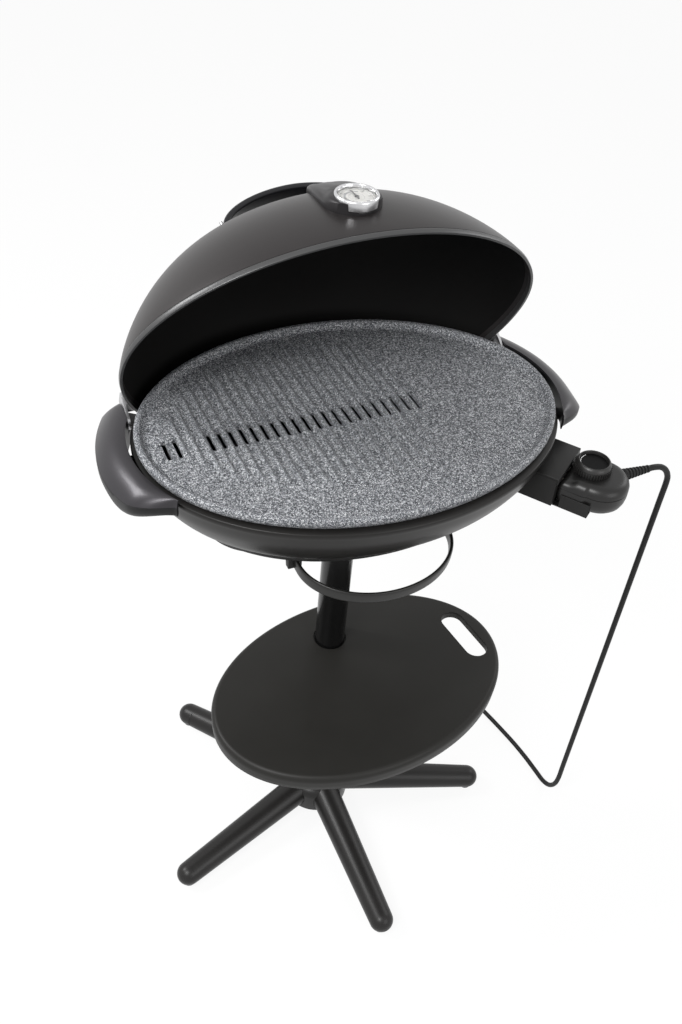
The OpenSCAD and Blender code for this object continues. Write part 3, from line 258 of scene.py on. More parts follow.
metal("zincSteel", (0.52, 0.52, 0.53), 0.34)
metal("elementSteel", (0.22, 0.20, 0.18), 0.45)
metal("brightSheet", (0.6, 0.6, 0.6), 0.3, (12, 1, 1))
metal("bezelChrome", (0.66, 0.66, 0.67), 0.22, (1, 1, 20))
metal("plugBrass", (0.72, 0.52, 0.22), 0.28)
moulding("switchBlock", (0.45, 0.36, 0.24), 0.6)
moulding("dialWhite", (0.74, 0.73, 0.70), 0.45, 300, 0.01, 0.04)
moulding("dialGrey", (0.30, 0.30, 0.31), 0.5, 300, 0.01, 0.05)
moulding("dialBlack", (0.02, 0.02, 0.02), 0.4, 300, 0.01)
moulding("markWhite", (0.75, 0.75, 0.75), 0.5, 300, 0.01, 0.04)
newFinish("gaugeGlass", Base_Color=(1, 1, 1, 1), Roughness=0.02, IOR=1.45, Transmission_Weight=1.0)
print("finishes made:", len(finishes))


# Shapes: rings, lofts and paths

ringPoints = 176


def oval(a, front, rear, z, n=ringPoints):
    ring = []
    for i in range(n):
        t = math.tau * i / n
        ring.append((a * math.cos(t), (front if math.sin(t) < 0 else rear) * math.sin(t), z))
    return ring


def even(a, b, z, n=ringPoints):
    return oval(a, b, b, z, n)


def through(points, steps):
    made = []
    for i in range(len(points) - 1):
        p, q, r, s = (points[min(max(k, 0), len(points) - 1)] for k in (i - 1, i, i + 1, i + 2))
        for k in range(steps):
            t = k / steps
            made.append(tuple(b + 0.5 * t
                    * ((c - a) + t * ((2 * a - 5 * b + 4 * c - d) + t * (3 * b - a - 3 * c + d)))
                              for a, b, c, d in zip(p, q, r, s)))
    return made + [tuple(points[-1])]


def loft(rings, wrap=False, capped=True):
    n, m = len(rings[0]), len(rings)
    points = [p for ring in rings for p in ring]
    faces = []
    for j in range(m if wrap else m - 1):
        low, high = j * n, (j + 1) % m * n
        faces += [(low + i, low + (i + 1) % n, high + (i + 1) % n, high + i) for i in range(n)]
    if capped and not wrap:
        faces += [tuple(range(n - 1, -1, -1)), tuple((m - 1) * n + i for i in range(n))]
    return points, faces


def circle(r, z, n):
    return [(r * math.cos(math.tau * i / n), r * math.sin(math.tau * i / n), z) for i in range(n)]


def lathe(profile, n=96):
    return loft([circle(r, z, n) for r, z in profile], wrap=True)


def tube(path, outline, start):
    path = [Vector(p) for p in path]
    side, rings = Vector(start), []
    for i, p in enumerate(path):
        ahead = (path[min(i + 1, len(path) - 1)] - path[max(i - 1, 0)]).normalized()
        side = (side - ahead * side.dot(ahead)).normalized()
        across = ahead.cross(side)
        rings.append([tuple(p + side * u + across * v) for u, v in outline])
    return loft(rings)


def roundOutline(r, flat=1.0, n=16):
    return [(r * math.cos(math.tau * i / n), r * flat * math.sin(math.tau * i / n)) for i in range(n)]


def moved(shape, change):
    return [tuple(change(Vector(p))) for p in shape[0]], shape[1]


def joined(*shapes):
    points, faces = [], []
    for p, f in shapes:
        faces += [tuple(k + len(points) for k in face) for face in f]
        points += p
    return points, faces


def meshFrom(name, shape):
    mesh = bpy.data.meshes.new(name)
    mesh.from_pydata([tuple(Vector(p) * mm) for p in shape[0]], [], shape[1])
    mesh.update()
    return mesh


def cylinder(base, axis, length, radius, n=64):
    turn = Vector((0, 0, 1)).rotation_difference(Vector(axis))
    return moved(loft([circle(radius, z, n) for z in (0, length)]), lambda p: Vector(base) + turn @ p)


def facedOut(mesh):
    work = bmesh.new()
    work.from_mesh(mesh)
    bmesh.ops.recalc_face_normals(work, faces=work.faces)
    work.to_mesh(mesh)
    work.free()
    return mesh


# Pieces

def settle(obj, angle):
    bpy.context.view_layer.update()
    mesh = bpy.data.meshes.new_from_object(obj.evaluated_get(bpy.context.evaluated_depsgraph_get()))
    obj.modifiers.clear()
    obj.data = mesh
    mesh.name = obj.name
    mesh.shade_smooth()
    mesh.set_sharp_from_angle(angle=math.radians(angle))
    return obj


def addPiece(name, mesh, finish, body, stands=(), cuts=(), bevel=0.0, angle=35, change=None):
    if isinstance(mesh, tuple):
        mesh = meshFrom(name, mesh)
    obj = linked(name, mesh)
    if not mesh.materials:
        mesh.materials.append(finishes[finish])
    helpers = []
    for k, cut in enumerate(cuts):
        tool = linked(name + "Cut" + str(k), meshFrom(name + "Cut", cut))
        helpers.append(tool)
        modifier = obj.modifiers.new("cut", "BOOLEAN")
        modifier.object, modifier.operation, modifier.solver = tool, "DIFFERENCE", "EXACT"
    if bevel:
        modifier = obj.modifiers.new("edges", "BEVEL")
        modifier.width, modifier.segments = bevel * mm, 3
        modifier.limit_method, modifier.angle_limit = "ANGLE", math.radians(40)
    settle(obj, angle)
    for tool in helpers:
        bpy.data.objects.remove(tool)
    if change:
        obj.data.transform(change)
    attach(obj, body)
    if stands:
        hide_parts(*stands)
    return obj


def dress(node, finish, bevel=0.0, angle=35):
    source = nodes[node]
    mesh = source.data.copy()
    mesh.materials.clear()
    work = bmesh.new()
    work.from_mesh(mesh)
    bmesh.ops.remove_doubles(work, verts=work.verts, dist=0.002 * mm)
    bmesh.ops.dissolve_limit(work, angle_limit=math.radians(0.6), verts=work.verts, edges=work.edges)
    bmesh.ops.recalc_face_normals(work, faces=work.faces)
    work.to_mesh(mesh)
    work.free()
    words = node.split("_")
    name = words[0] + "".join(w.capitalize() for w in words[1:])
    return addPiece(name, mesh, finish, source["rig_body"], [node], bevel=bevel, angle=angle)


# Geometry Nodes helpers

def nodeTree(name, inputs):
    tree = bpy.data.node_groups.new(name, "GeometryNodeTree")
    tree.interface.new_socket("Geometry", in_out="INPUT", socket_type="NodeSocketGeometry")
    for label, kind in inputs:
        tree.interface.new_socket(label, in_out="INPUT", socket_type=kind)
    tree.interface.new_socket("Geometry", in_out="OUTPUT", socket_type="NodeSocketGeometry")
    graph = Graph(tree)
    entry = tree.nodes.new("NodeGroupInput")
    return tree, graph, {s.name: Wire(graph, s) for s in entry.outputs if s.name}


def runTree(obj, tree, values):
    modifier = obj.modifiers.new(tree.name, "NODES")
    modifier.node_group = tree
    for item in tree.interface.items_tree:
        if item.in_out == "INPUT" and item.name in values:
            value = values[item.name]
            modifier[item.identifier] = float(value) if item.socket_type == "NodeSocketFloat" else value
    return modifier


def closeTree(graph, geometry, finish):
    real = graph.node("GeometryNodeRealizeInstances", None, {"Geometry": geometry})
    painted = graph.node("GeometryNodeSetMaterial", None, {"Geometry": real, "Material": finish})
    graph.node("NodeGroupOutput", None, {"Geometry": painted})


# A row of equal blocks on an arc: knob grips and dial ticks
def arcTree():
    tree, graph, given = nodeTree("blocksOnArc",
            [("Count", "NodeSocketInt"), ("Radius", "NodeSocketFloat"), ("Start", "NodeSocketFloat"),
                                                  ("Step", "NodeSocketFloat"), ("Block", "NodeSocketVector"),
                                                  ("Centre", "NodeSocketVector"),
                                                  ("Finish", "NodeSocketMaterial")])
    turn = given["Start"] + given["Step"] * graph.node("GeometryNodeInputIndex")
    east = given["Radius"] * turn.maths("COSINE", turn)
    north = given["Radius"] * turn.maths("SINE", turn)
    spot = graph.node("ShaderNodeCombineXYZ", None, {"X": east, "Y": north})
    spot = graph.node("ShaderNodeVectorMath", {"operation": "ADD"}, {0: spot, 1: given["Centre"]})
    spots = graph.node("GeometryNodePoints", None, {"Count": given["Count"], "Position": spot})
    block = graph.node("GeometryNodeMeshCube", None, {"Size": given["Block"]})
    facing = graph.node("ShaderNodeCombineXYZ", None, {"Z": turn})
    placed = graph.node("GeometryNodeInstanceOnPoints", None,
            {"Points": spots, "Instance": block, "Rotation": facing})
    closeTree(graph, placed, given["Finish"])
    return tree


blocksOnArc = arcTree()


def addArc(name, values, finish, body, change=None):
    obj = linked(name, bpy.data.meshes.new(name))
    values = {k: (v * mm if k == "Radius" else tuple(x * mm for x in v) if k in ("Block", "Centre") else v)
            for k, v in values.items()}
    runTree(obj, blocksOnArc, {**values, "Finish": finishes[finish]})
    settle(obj, 30)
    if change:
        obj.data.transform(change)
    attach(obj, body)
    return obj


# Cord: down from the thermostat to the floor, round to a coil behind the grill, and out to its plug

cordLine = {
    "diameter": 8, "floor": 4.5, "coilMiddle": (300, 150), "coilRadius": 50, "turns": 2.5, "pitch": 8.8,
    "rise": 8.8,
    "run": [(348, -165, 768), (356, -165, 768), (368, -165, 765.5), (378, -165, 758.5), (385, -165, 748),
            *((388, -165, z) for z in (735, 700, 600, 500, 400, 300, 200, 100, 60)), (388, -161, 36),
            (388, -150, 17), (388, -133, 7), (388, -112, 4.5),
            (386, -80, 4.5), (382, -45, 4.5), (376, -10, 4.5), (368, 30, 4.5), (360, 65, 4.5), (354, 95, 4.5),
            (351, 120, 4.5),
            (350, 142, 4.5)],
    "tail": [(250, 142, 13.3), (250, 134, 13.2), (250.5, 122, 12), (252, 110, 8.5), (255, 99, 5.5),
        (260, 89, 5),
             (268, 82, 6.5), (278, 78.5, 8.6), (284, 78, 9), (290, 78, 9)],
}


def coilPath(c, perTurn=32):
    made, count = [], round(perTurn * c["turns"])
    for i in range(count + 1):
        turn = c["turns"] * i / count
        back = min(turn, c["turns"] - turn)
        climb = min(1, max(0, (turn - c["turns"] / 2) / 0.5 + 0.5))
        r = c["coilRadius"] - c["pitch"] * back
        made.append((c["coilMiddle"][0] + r * math.cos(math.tau * turn),
                c["coilMiddle"][1] + r * math.sin(math.tau * turn),
                     c["floor"] + c["rise"] * climb))
    return made


cordPath = through(cordLine["run"],
        4)[:-1] + [cordLine["run"][-1]] + coilPath(cordLine) + through(cordLine["tail"], 3)
cord = addPiece("cord", tube(cordPath, roundOutline(cordLine["diameter"] / 2), (0, 0, 1)), "cordRubber",
        "stand",
                ["cord_run", "cord_coil", "cord_tail"], angle=60)
plug = dress("plug_body", "cordRubber", 2.4, 40)
pins = dress("plug_pins", "plugBrass", 0.3)


# Strain relief with ribs that get smaller towards the cord

relief = {"start": (308, -165, 768), "length": 40, "wide": 16, "narrow": 10, "ribs": 7}


def reliefProfile(c):
    outer = [(0.02, -7.8), (5.2, -7.8), (5.2, 0), (c["wide"] / 2 - 0.6, 0), (c["wide"] / 2, 0.8)]
    pitch = (c["length"] - 5) / c["ribs"]
    for i in range(c["ribs"]):
        r = (c["wide"] - (c["wide"] - c["narrow"]) * i / c["ribs"]) / 2
        z = 3 + i * pitch
        outer += [(r, z), (r - 0.3, z + 0.3 * pitch), (r - 1.5, z + 0.38 * pitch),
                (r - 1.5, z + 0.72 * pitch),
                  (r - 0.6, z + 0.8 * pitch), (r - 0.35, z + 0.97 * pitch)]
    return outer + [(c["narrow"] / 2, c["length"] - 0.6), (c["narrow"] / 2 - 0.4, c["length"]),
            (0.02, c["length"])]


along = Vector((0, 0, 1)).rotation_difference(Vector((1, 0, 0)))
reliefShape = moved(lathe(reliefProfile(relief), 48), lambda p: Vector(relief["start"]) + along @ p)
reliefPiece = addPiece("cordRelief", reliefShape, "cordRubber", "stand", ["cord_relief"],
        angle=40)


# Lid: drawn shut and tilted back about its side pivots

lid = {"halfLength": 270, "front": 199, "rear": 220, "bottom": 829, "band": 7, "start": 832.6, "height": 154,
        "flatness": 2.95,
       "side": 0.833, "wall": 2.5, "angle": 64.5, "pivotY": 79.5, "pivotZ": 811.6, "rings": 44,
       "domeShare": 0.9966}
tilt = (Matrix.Translation((0, lid["pivotY"] * mm,
        lid["pivotZ"] * mm)) @ Matrix.Rotation(math.radians(-lid["angle"]), 4, "X")
        @ Matrix.Translation((0, -lid["pivotY"] * mm, -lid["pivotZ"] * mm)))


def domeHeight(r):
    return lid["start"] + lid["height"] * max(0, 1 - r ** lid["flatness"]) ** lid["side"]


def lidRing(share, inset, z):
    a, front, rear = (lid[k] * share - inset for k in ("halfLength", "front", "rear"))
    return oval(a, front, rear, z)


def domeRing(r, t):
    return lidRing(r, t * min(1, 1.2 * r), domeHeight(r) - t * (1 - 0.75 * r ** 4))


def domeNormal(x, y):
    r = math.hypot(x / lid["halfLength"], y / lid["front"])
    slope = (domeHeight(r + 0.002) - domeHeight(r - 0.002)) / 0.004
    return Vector((-slope * x / (lid["halfLength"] ** 2 * r), -slope * y / (lid["front"] ** 2 * r),
            1)).normalized()


def domePoint(x, y, out):
    return Vector((x, y, domeHeight(math.hypot(x / lid["halfLength"], y / lid["front"])))) + domeNormal(x,
            y) * out


def makeLid():
    shares = [lid["domeShare"] * math.sin(math.pi / 2 * (1 - i / lid["rings"]) ** 1.25)
            for i in range(lid["rings"])]
    top = lid["bottom"] + lid["band"]
    inner = [domeRing(r, lid["wall"]) for r in shares[::-1] if domeHeight(r) > top + 3]
    edge = [lidRing(lid["domeShare"], t, top) for t in (lid["wall"], 0)]
    outer = [domeRing(r, 0) for r in shares if domeHeight(r) > top + 0.5]
    shape = loft(inner + edge + outer)
    mesh = meshFrom("lidDome", shape)
    mesh.materials.append(finishes["lidEnamel"])
    mesh.materials.append(finishes["lidLining"])
    split = len(inner) * ringPoints
    for polygon in mesh.polygons:
        if all(v < split for v in polygon.vertices):
            polygon.material_index = 1
    addPiece("lidDome", mesh, None, "lid", ["lid_shell"], angle=50, change=tilt)
    w = 3.5
    sizes = [(0.2, 0), (0, 0.6), (0, lid["band"] - 2.2), (0.25, lid["band"] - 1.2), (0.9, lid["band"] - 0.2),
            (1.3, lid["band"]),
             (w, lid["band"]), (w, 0.4), (w - 0.4, 0)]
    rings = [lidRing(1, t, lid["bottom"] + z) for t, z in sizes]
    # The rim band takes the lighter lacquer that paints a highlight along the lid's edge
    addPiece("lidBand", loft(rings, wrap=True), "rimBandPaintedHighlight", "lid", ["lid_rim"], angle=40,
            change=tilt)


makeLid()


# Thermometer on its teardrop boss

gauge = {"y": -191, "z": 895, "diameter": 51, "height": 13, "bossWidth": 34, "bossHeight": 9,
         "collar": 37, "collarBlend": 11, "collarTop": -3.4,
         "face": -6.2, "dialStart": 235, "dialSweep": 290, "figureSize": 2.7, "figureRadius": 15.0}
gaugeTurn = Matrix.Rotation(math.radians(lid["angle"]), 4, "X")
gaugePlace = Matrix.Translation((0, gauge["y"], gauge["z"])) @ gaugeTurn
toLid = Matrix.Diagonal((mm, mm, mm, 1)) @ gaugePlace @ Matrix.Diagonal((1 / mm, 1 / mm, 1 / mm, 1))
atGauge = tilt @ toLid


def bossRing(k, out, n=120):
    ring = []
    for i in range(n):
        c, s = math.cos(math.tau * i / n), math.sin(math.tau * i / n)
        x = gauge["bossWidth"] * k * c * (max(0, 1 - s) ** 0.25 if s > 0 else 1)
        y = -lid["front"] * math.sin(math.radians(58 + k * (-34 * s if s > 0 else -12 * s)))
        ring.append(tuple(domePoint(x, y, out)))
    return ring


def raiseToGauge(point):
    place = gaugePlace.inverted() @ point
    near = min(1, max(0, (gauge["collar"] - math.hypot(place.x, place.y)) / gauge["collarBlend"]))
    place.z += max(0, gauge["collarTop"] - place.z) * near * near * (3 - 2 * near)
    return gaugePlace @ place


def makeBoss():
    h = gauge["bossHeight"]
    steps = [(1.0, -1.5), (1.0, 0.2), (0.995, 2), (0.985, 0.5 * h), (0.965, 0.72 * h), (0.93, 0.88 * h),
            (0.88, 0.97 * h), (0.8, h),
             (0.6, h), (0.35, h), (0.1, h)]
    rings = [bossRing(k, out) for k, out in steps]
    shape = loft([[tuple(raiseToGauge(Vector(p))) for p in ring] if out > 3 else ring for ring,
            (k, out) in zip(rings, steps)])
    pocket = moved(cylinder((0, 0, 1 - gauge["height"]), (0, 0, 1), 60, gauge["diameter"] / 2 + 0.2, 96),
            lambda p: gaugePlace @ p)
    addPiece("thermometerBoss", shape, "bossEnamel", "lid", ["thermometer_boss"], [pocket],
             angle=38, change=tilt)


def makeGauge():
    r, h = gauge["diameter"] / 2, gauge["height"]
    ring = [(r - 1.8, 1 - h), (r - 0.6, 1 - h), (r, 2 - h), (r, -2.4), (r - 0.25, -1.4), (r - 0.8, -0.5),
            (r - 1.6, 0), (r - 2.4, -0.1),
            (r - 3.1, -0.5), (r - 3.4, -1.1), (r - 3.8, -2.8), (r - 1.8, -2.8)]
    addPiece("gaugeBezel", lathe(ring, 128), "bezelChrome", "lid", ["gauge_bezel"], angle=30,
             change=atGauge)
    dress("gauge_case", "zincSteel")
    dress("gauge_dial", "dialWhite")
    dress("gauge_stem", "zincSteel")
    dress("stem_nut", "zincSteel", 0.4)
    addPiece("gaugeGlass", lathe([(0.02, -4.2), (r - 4, -4.2), (r - 4, -2.8), (0.02, -2.8)]),
             "gaugeGlass", "lid", ["gauge_glass"], change=atGauge)
    face = gauge["face"]
    start, sweep = math.radians(gauge["dialStart"]), math.radians(gauge["dialSweep"])
    for name, count, radius, block in (("dialTicks", 59, 18.4, (1.6, 0.22, 0.08)),
            ("dialMarks", 7, 17.9, (2.8, 0.5, 0.1))):
        addArc(name, {"Count": count, "Radius": radius, "Start": start, "Step": -sweep / (count - 1),
                "Block": block,
                      "Centre": (0, 0, face + 0.04)}, "dialBlack", "lid", atGauge)
    for name, low, high, first, last, finish in (("dialBandPale", 12.2, 14.6, 235, 60, "dialGrey"),
            ("dialRing", 20.2, 20.6, 270, -90, "dialBlack"),
                                                 ("dialInnerRing", 8.6, 8.9, 250, -70, "dialGrey")):
        steps = 72
        points = [(q * math.cos(math.radians(first + (last - first) * i / steps)),
                q * math.sin(math.radians(first + (last - first) * i / steps)), z)
                  for i in range(steps + 1) for q,
                  z in ((low, face), (high, face), (high, face + 0.06), (low, face + 0.06))]
        faces = [(4 * i + k, 4 * i + (k + 1) % 4, 4 * i + 4 + (k + 1) % 4, 4 * i + 4 + k)
                for i in range(steps) for k in range(4)]
        faces += [(3, 2, 1, 0), tuple(4 * steps + k for k in range(4))]
        addPiece(name, facedOut(meshFrom(name, (points, faces))), finish, "lid", change=atGauge)
    for k, figure in enumerate(("50", "100", "150", "200", "250", "300", "350")):
        turn, out = start - sweep * k / 6, gauge["figureRadius"] * mm
        text = bpy.data.curves.new("figure" + figure, "FONT")
        text.body, text.size, text.align_x, text.align_y, text.extrude = (
            figure, gauge["figureSize"] * mm, "CENTER", "CENTER", 0.04 * mm)
        helper = linked("figure" + figure, text)
        bpy.context.view_layer.update()
        mesh = bpy.data.meshes.new_from_object(helper.evaluated_get(bpy.context.evaluated_depsgraph_get()))
        bpy.data.objects.remove(helper)
        mesh.transform(Matrix.Translation((out * math.cos(turn), out * math.sin(turn), (face + 0.1) * mm)))
        mesh.materials.clear()
        addPiece("dialFigure" + figure, mesh, "dialBlack", "lid", change=atGauge)
    hand = [(-0.95, -6), (0.95, -6), (1.15, 0), (0.22, 16.5), (-0.22, 16.5), (-1.15, 0)]
    blade = loft([[(x, y, z) for x, y in hand] for z in (-5.6, -5.2)])
    cap = lathe([(0.02, -5.6), (2.5, -5.6), (2.5, -4.9), (2.1, -4.6), (0.02, -4.6)], 48)
    spindle = lathe([(0.02, -10.8), (1, -10.8), (1, -5.5), (0.02, -5.5)], 24)
    addPiece("gaugeNeedle", joined(blade, cap, spindle), "dialBlack", "needle",
            ["gauge_needle"],
             change=atGauge)


makeBoss()
makeGauge()


# Lid handle: a flattened strap in a high arch behind the dome

lidHandle = {"span": 106, "y": -49, "top": 1016, "width": 24, "thick": 8, "power": 1.8, "steps": 72}


def makeLidHandle():
    c = lidHandle
    foot = domeHeight(math.hypot(c["span"] / lid["halfLength"], c["y"] / lid["front"])) - 4
    path = []
    for i in range(c["steps"] + 1):
        t = math.pi - math.pi * i / c["steps"]
        bend = 2 / c["power"]
        x = c["span"] * math.copysign(abs(math.cos(t)) ** bend, math.cos(t))
        path.append((x, c["y"], foot + (c["top"] - foot) * max(math.sin(t), 0) ** bend))
    h, w, corner = c["thick"] / 2, c["width"] / 2, 3
    outline = []
    for sx, sy, first in ((1, 1, 0), (-1, 1, 90), (-1, -1, 180), (1, -1, 270)):
        for k in range(6):
            a = math.radians(first + 18 * k)
            outline.append((sx * (h - corner) + corner * math.cos(a),
                    sy * (w - corner) + corner * math.sin(a)))
    shape = tube(path, outline, (-1, 0, 0))
    cuts = []
    for s in (-1, 1):
        normal = domeNormal(s * c["span"], c["y"])
        cuts.append(cylinder(domePoint(s * c["span"], c["y"], 0.3) - normal * 30, normal, 30, 40))
    addPiece("lidHandle", shape, "gripBlack", "lid", ["lid_handle"], cuts, angle=45,
            change=tilt)


makeLidHandle()
dress("lid_ears", "zincSteel", 0.3)
dress("pivot_pins", "zincSteel", 0.3)
dress("lid_handle_screws", "zincSteel")
print("lid made")


# Grill plate: a rim, a speckled floor with drain slots, and ribs raised on it by Geometry Nodes

plate = {"halfLength": 270, "halfWidth": 199, "well": 820.4, "under": 815.4, "firstSlot": -182.4, "slots": 21,
        "stray": (-4, -3),
         "slotHalfWidth": 3.0, "slotHalfLength": 17.5, "cell": 1.5, "rows": 34, "pitch": 13.5,
         "ribHeight": 3.1, "ribHalfWidth": 4.6,
         "fieldX": 10, "fieldY": 20, "fieldRadius": 152, "fieldLeft": 235, "fieldRight": 82, "fade": 16}


def plateFloor(c):
    a, b = c["halfLength"] - 13, c["halfWidth"] - 13
    centres = [c["firstSlot"] + c["pitch"] * i for i in (*c["stray"], *range(c["slots"]))]
    first = math.ceil((-a - c["firstSlot"]) / c["cell"])
    last = math.floor((a - c["firstSlot"]) / c["cell"])
    middle = [-20 + 2.5 * k for k in range(17)]
    points, index = [], {}
    for k in range(first, last + 1):
        x = c["firstSlot"] + c["cell"] * k
        half = b * math.sqrt(max(0, 1 - (x / a) ** 2))
        squeeze = min(1, max(0.1, (half - 2) / 24))
        inner = [y * squeeze for y in middle]
        outer = [inner[-1] + (half - inner[-1]) * (j + 1) / c["rows"] for j in range(c["rows"])]
        line = [-y for y in outer[::-1]] + inner + outer
        near = min(abs(abs(x - m) - c["slotHalfWidth"]) for m in centres)
        for j, y in enumerate(line):
            if near < 0.01 and abs(abs(y) - c["slotHalfLength"]) < 0.01:
                y *= 0.94  # takes the corner off the slot
            index[k, j] = len(points)
            points.append((x, y, c["well"]))
    faces = []
    count = len(middle) + 2 * c["rows"]
    for k in range(first, last):
        x = c["firstSlot"] + c["cell"] * (k + 0.5)
        inSlot = any(abs(x - m) < c["slotHalfWidth"] for m in centres)
        for j in range(count - 1):
            row = j - c["rows"]
            if inSlot and 1 <= row < len(middle) - 2:
                continue
            faces.append((index[k, j], index[k + 1, j], index[k + 1, j + 1], index[k, j + 1]))
    return closedSlab(points, faces, c["under"])


def closedSlab(points, faces, bottom):
    n = len(points)
    edges = {(f[i], f[(i + 1) % len(f)]) for f in faces for i in range(len(f))}
    below = [(x, y, bottom) for x, y, _ in points]
    under = [tuple(n + k for k in f[::-1]) for f in faces]
    sides = [(v, u, n + u, n + v) for u, v in edges if (v, u) not in edges]
    return points + below, faces + under + sides


def ribTree():
    tree, graph, given = nodeTree("plateRibs", [(k, "NodeSocketFloat") for k in
                                                 ("Pitch", "First", "Height", "Half", "Field X", "Field Y",
                                                     "Radius", "Left", "Right", "Fade", "Level")]
                                  + [("Finish", "NodeSocketMaterial")])
    place = graph.node("GeometryNodeInputPosition")
    x, y, z = (graph.node("ShaderNodeSeparateXYZ", None, {"Vector": place}, out=k) * (1 / mm)
            for k in range(3))
    phase = (x - given["First"]) / given["Pitch"]
    fromCrest = ((phase - phase.maths("FLOOR", phase)) - 0.5) * given["Pitch"]
    share = fromCrest.maths("ABSOLUTE", fromCrest) / given["Half"]
    wave = share.maths("COSINE", share.maths("MINIMUM", share, 1) * (math.pi / 2))
    aside = x - given["Field X"]
    reach = given["Right"] + (given["Left"] - given["Right"]) * (aside < 0)
    chord = 1 - (aside / reach) * (aside / reach)
    ends = given["Radius"] * chord.maths("SQRT", chord.maths("MAXIMUM", chord, 0))
    away = y - given["Field Y"]
    inside = (ends - away.maths("ABSOLUTE", away)) / given["Fade"]
    soft = graph.node("ShaderNodeMapRange", {"interpolation_type": "SMOOTHSTEP"},
            {"Value": inside, 1: -0.3, 2: 1.0, 3: 0.0, 4: 1.0})
    lift = given["Height"] * wave * wave * soft * (z > given["Level"]) * mm
    offset = graph.node("ShaderNodeCombineXYZ", None, {"Z": lift})
    raised = graph.node("GeometryNodeSetPosition", None, {"Geometry": given["Geometry"], "Offset": offset})
    closeTree(graph, raised, given["Finish"])
    return tree


def makePlate():
    c = plate
    a, b = c["halfLength"], c["halfWidth"]
    edge = [(17.5, 12.5, 815.4), (17.5, 12.5, 811.3), (17, 12.2, 811), (10.4, 5.4, 811), (10, 5, 811.4),
            (9.5, 4.5, 815), (4, 3, 815),
            (2.6, 2.2, 816), (1.2, 1.2, 818), (0.3, 0.3, 820.4), (0, 0, 822.5), (0, 0, 825.2),
            (0.35, 0.35, 826.9), (1.2, 1.2, 828),
            (2.4, 2.4, 828.4), (5.2, 5.2, 828.4), (6.4, 6.4, 828.1), (7.6, 7.6, 827.1), (8.8, 8.8, 825.2),
            (10.1, 10.1, 823.2),
            (11.6, 11.6, 821.6), (13.4, 13.4, 820.75), (15.5, 15.5, 820.3), (17.2, 13.6, 819.5)]
    rim = loft([even(a - p, b - q, z, 220) for p, q, z in edge], wrap=True)
    mesh = meshFrom("grillPlate", joined(plateFloor(c), rim))
    obj = linked("ribbing", mesh)
    runTree(obj, ribTree(), {"Pitch": c["pitch"], "First": c["firstSlot"], "Height": c["ribHeight"],
            "Half": c["ribHalfWidth"],
                             "Field X": c["fieldX"], "Field Y": c["fieldY"], "Radius": c["fieldRadius"],
                             "Left": c["fieldLeft"],
                             "Right": c["fieldRight"], "Fade": c["fade"], "Level": c["well"] - 0.1,
                             "Finish": finishes["plateCoating"]})
    settle(obj, 45)
    ribbed = obj.data
    bpy.data.objects.remove(obj)
    addPiece("grillPlate", ribbed, None, "stand", ["grill_plate"], angle=45)


makePlate()
print("plate made")


# Bowl and pan

bowl = {"halfLength": 274, "halfWidth": 208, "drainX": -120, "drain": 11}


def makeBowl():
    c = bowl
    a, b = c["halfLength"], c["halfWidth"]
    outer = through([(50, 48, 741), (38, 36, 745), (22, 21, 762.5), (8, 8, 786.1), (1, 1, 807)], 6)
    outer += [(0.2, 0.2, 809.2), (0, 0, 811.5), (0.2, 0.2, 813.6), (0.7, 0.7, 814.7), (1.4, 1.4, 815)]
    inner = [(12, 12, 815), (12, 12, 811.5),
            (4, 4, 810)] + through([(11, 11, 786.1), (25, 24, 763.5), (41, 39, 748), (53, 51, 744)], 4)
    rings = [even(a - p, b - q, z) for p, q, z in outer + inner]
    addPiece("bowl", loft(rings), "bowlEnamel", "stand", ["bowl"],
             [cylinder((c["drainX"], 0, 735), (0, 0, 1), 30, c["drain"])], angle=50)
    outer = through([(20, 20, 716), (14, 14, 716.6), (9, 9, 718.4), (4.6, 4.6, 722.4), (2, 2, 728),
            (0, 0, 740.9)], 3)
    inner = through([(3, 3, 740.9), (6, 6, 725), (23, 23, 719)], 4)
    rings = [even(222 - p, 158 - q, z) for p, q, z in outer + inner]
    addPiece("bottomPan", loft(rings), "matteBlack", "stand", ["bottom_pan"],
             [cylinder((c["drainX"], 0, 705), (0, 0, 1), 30, c["drain"])], angle=50)


makeBowl()


# Side handles: a lacquered upper shell on a black lower half

handle = {"a": 279, "b": 211, "front": -26, "rear": 30, "width": 34, "split": 802, "top": 825.4, "low": 774,
        "shell": 3, "stations": 72,
          "bosses": (-52, 24), "cheek": 263.2, "room": 44, "under": 12, "taper": 70, "endDepth": 0.45,
          "frontBlend": 45, "rearBlend": 16, "rearRound": 16.5}


def handleReach(t):
    y, front, rear = (handle["b"] * math.sin(math.radians(k)) for k in (t, handle["front"], handle["rear"]))
    reach = handle["width"] + 0.05 * y
    if y < front + handle["frontBlend"]:
        reach *= max(0.1, math.sin(math.radians(90 * (y - front) / handle["frontBlend"])))
    if y > rear - handle["rearBlend"]:
        reach *= max(0.3, math.sqrt(max(0,
                1 - ((y - rear + handle["rearBlend"]) / handle["rearRound"]) ** 2)))
    return reach


def handleRing(t, section):
    c, s = math.cos(math.radians(t)), math.sin(math.radians(t))
    share = min(1, (handle["b"] * (s - math.sin(math.radians(handle["front"])))) / handle["taper"])
    deep = handle["endDepth"] + (1 - handle["endDepth"]) * share * share * (3 - 2 * share)
    out = Vector((c / handle["a"], s / handle["b"], 0)).normalized()
    foot = Vector((handle["a"] * c, handle["b"] * s, 0))
    return [tuple(foot + out * u + Vector((0, 0, handle["top"] + (z - handle["top"]) * deep))) for u,
            z in section]


def crown(k):
    return handle["split"] + (handle["top"] - handle["split"]) * (1 - k ** 2.3)


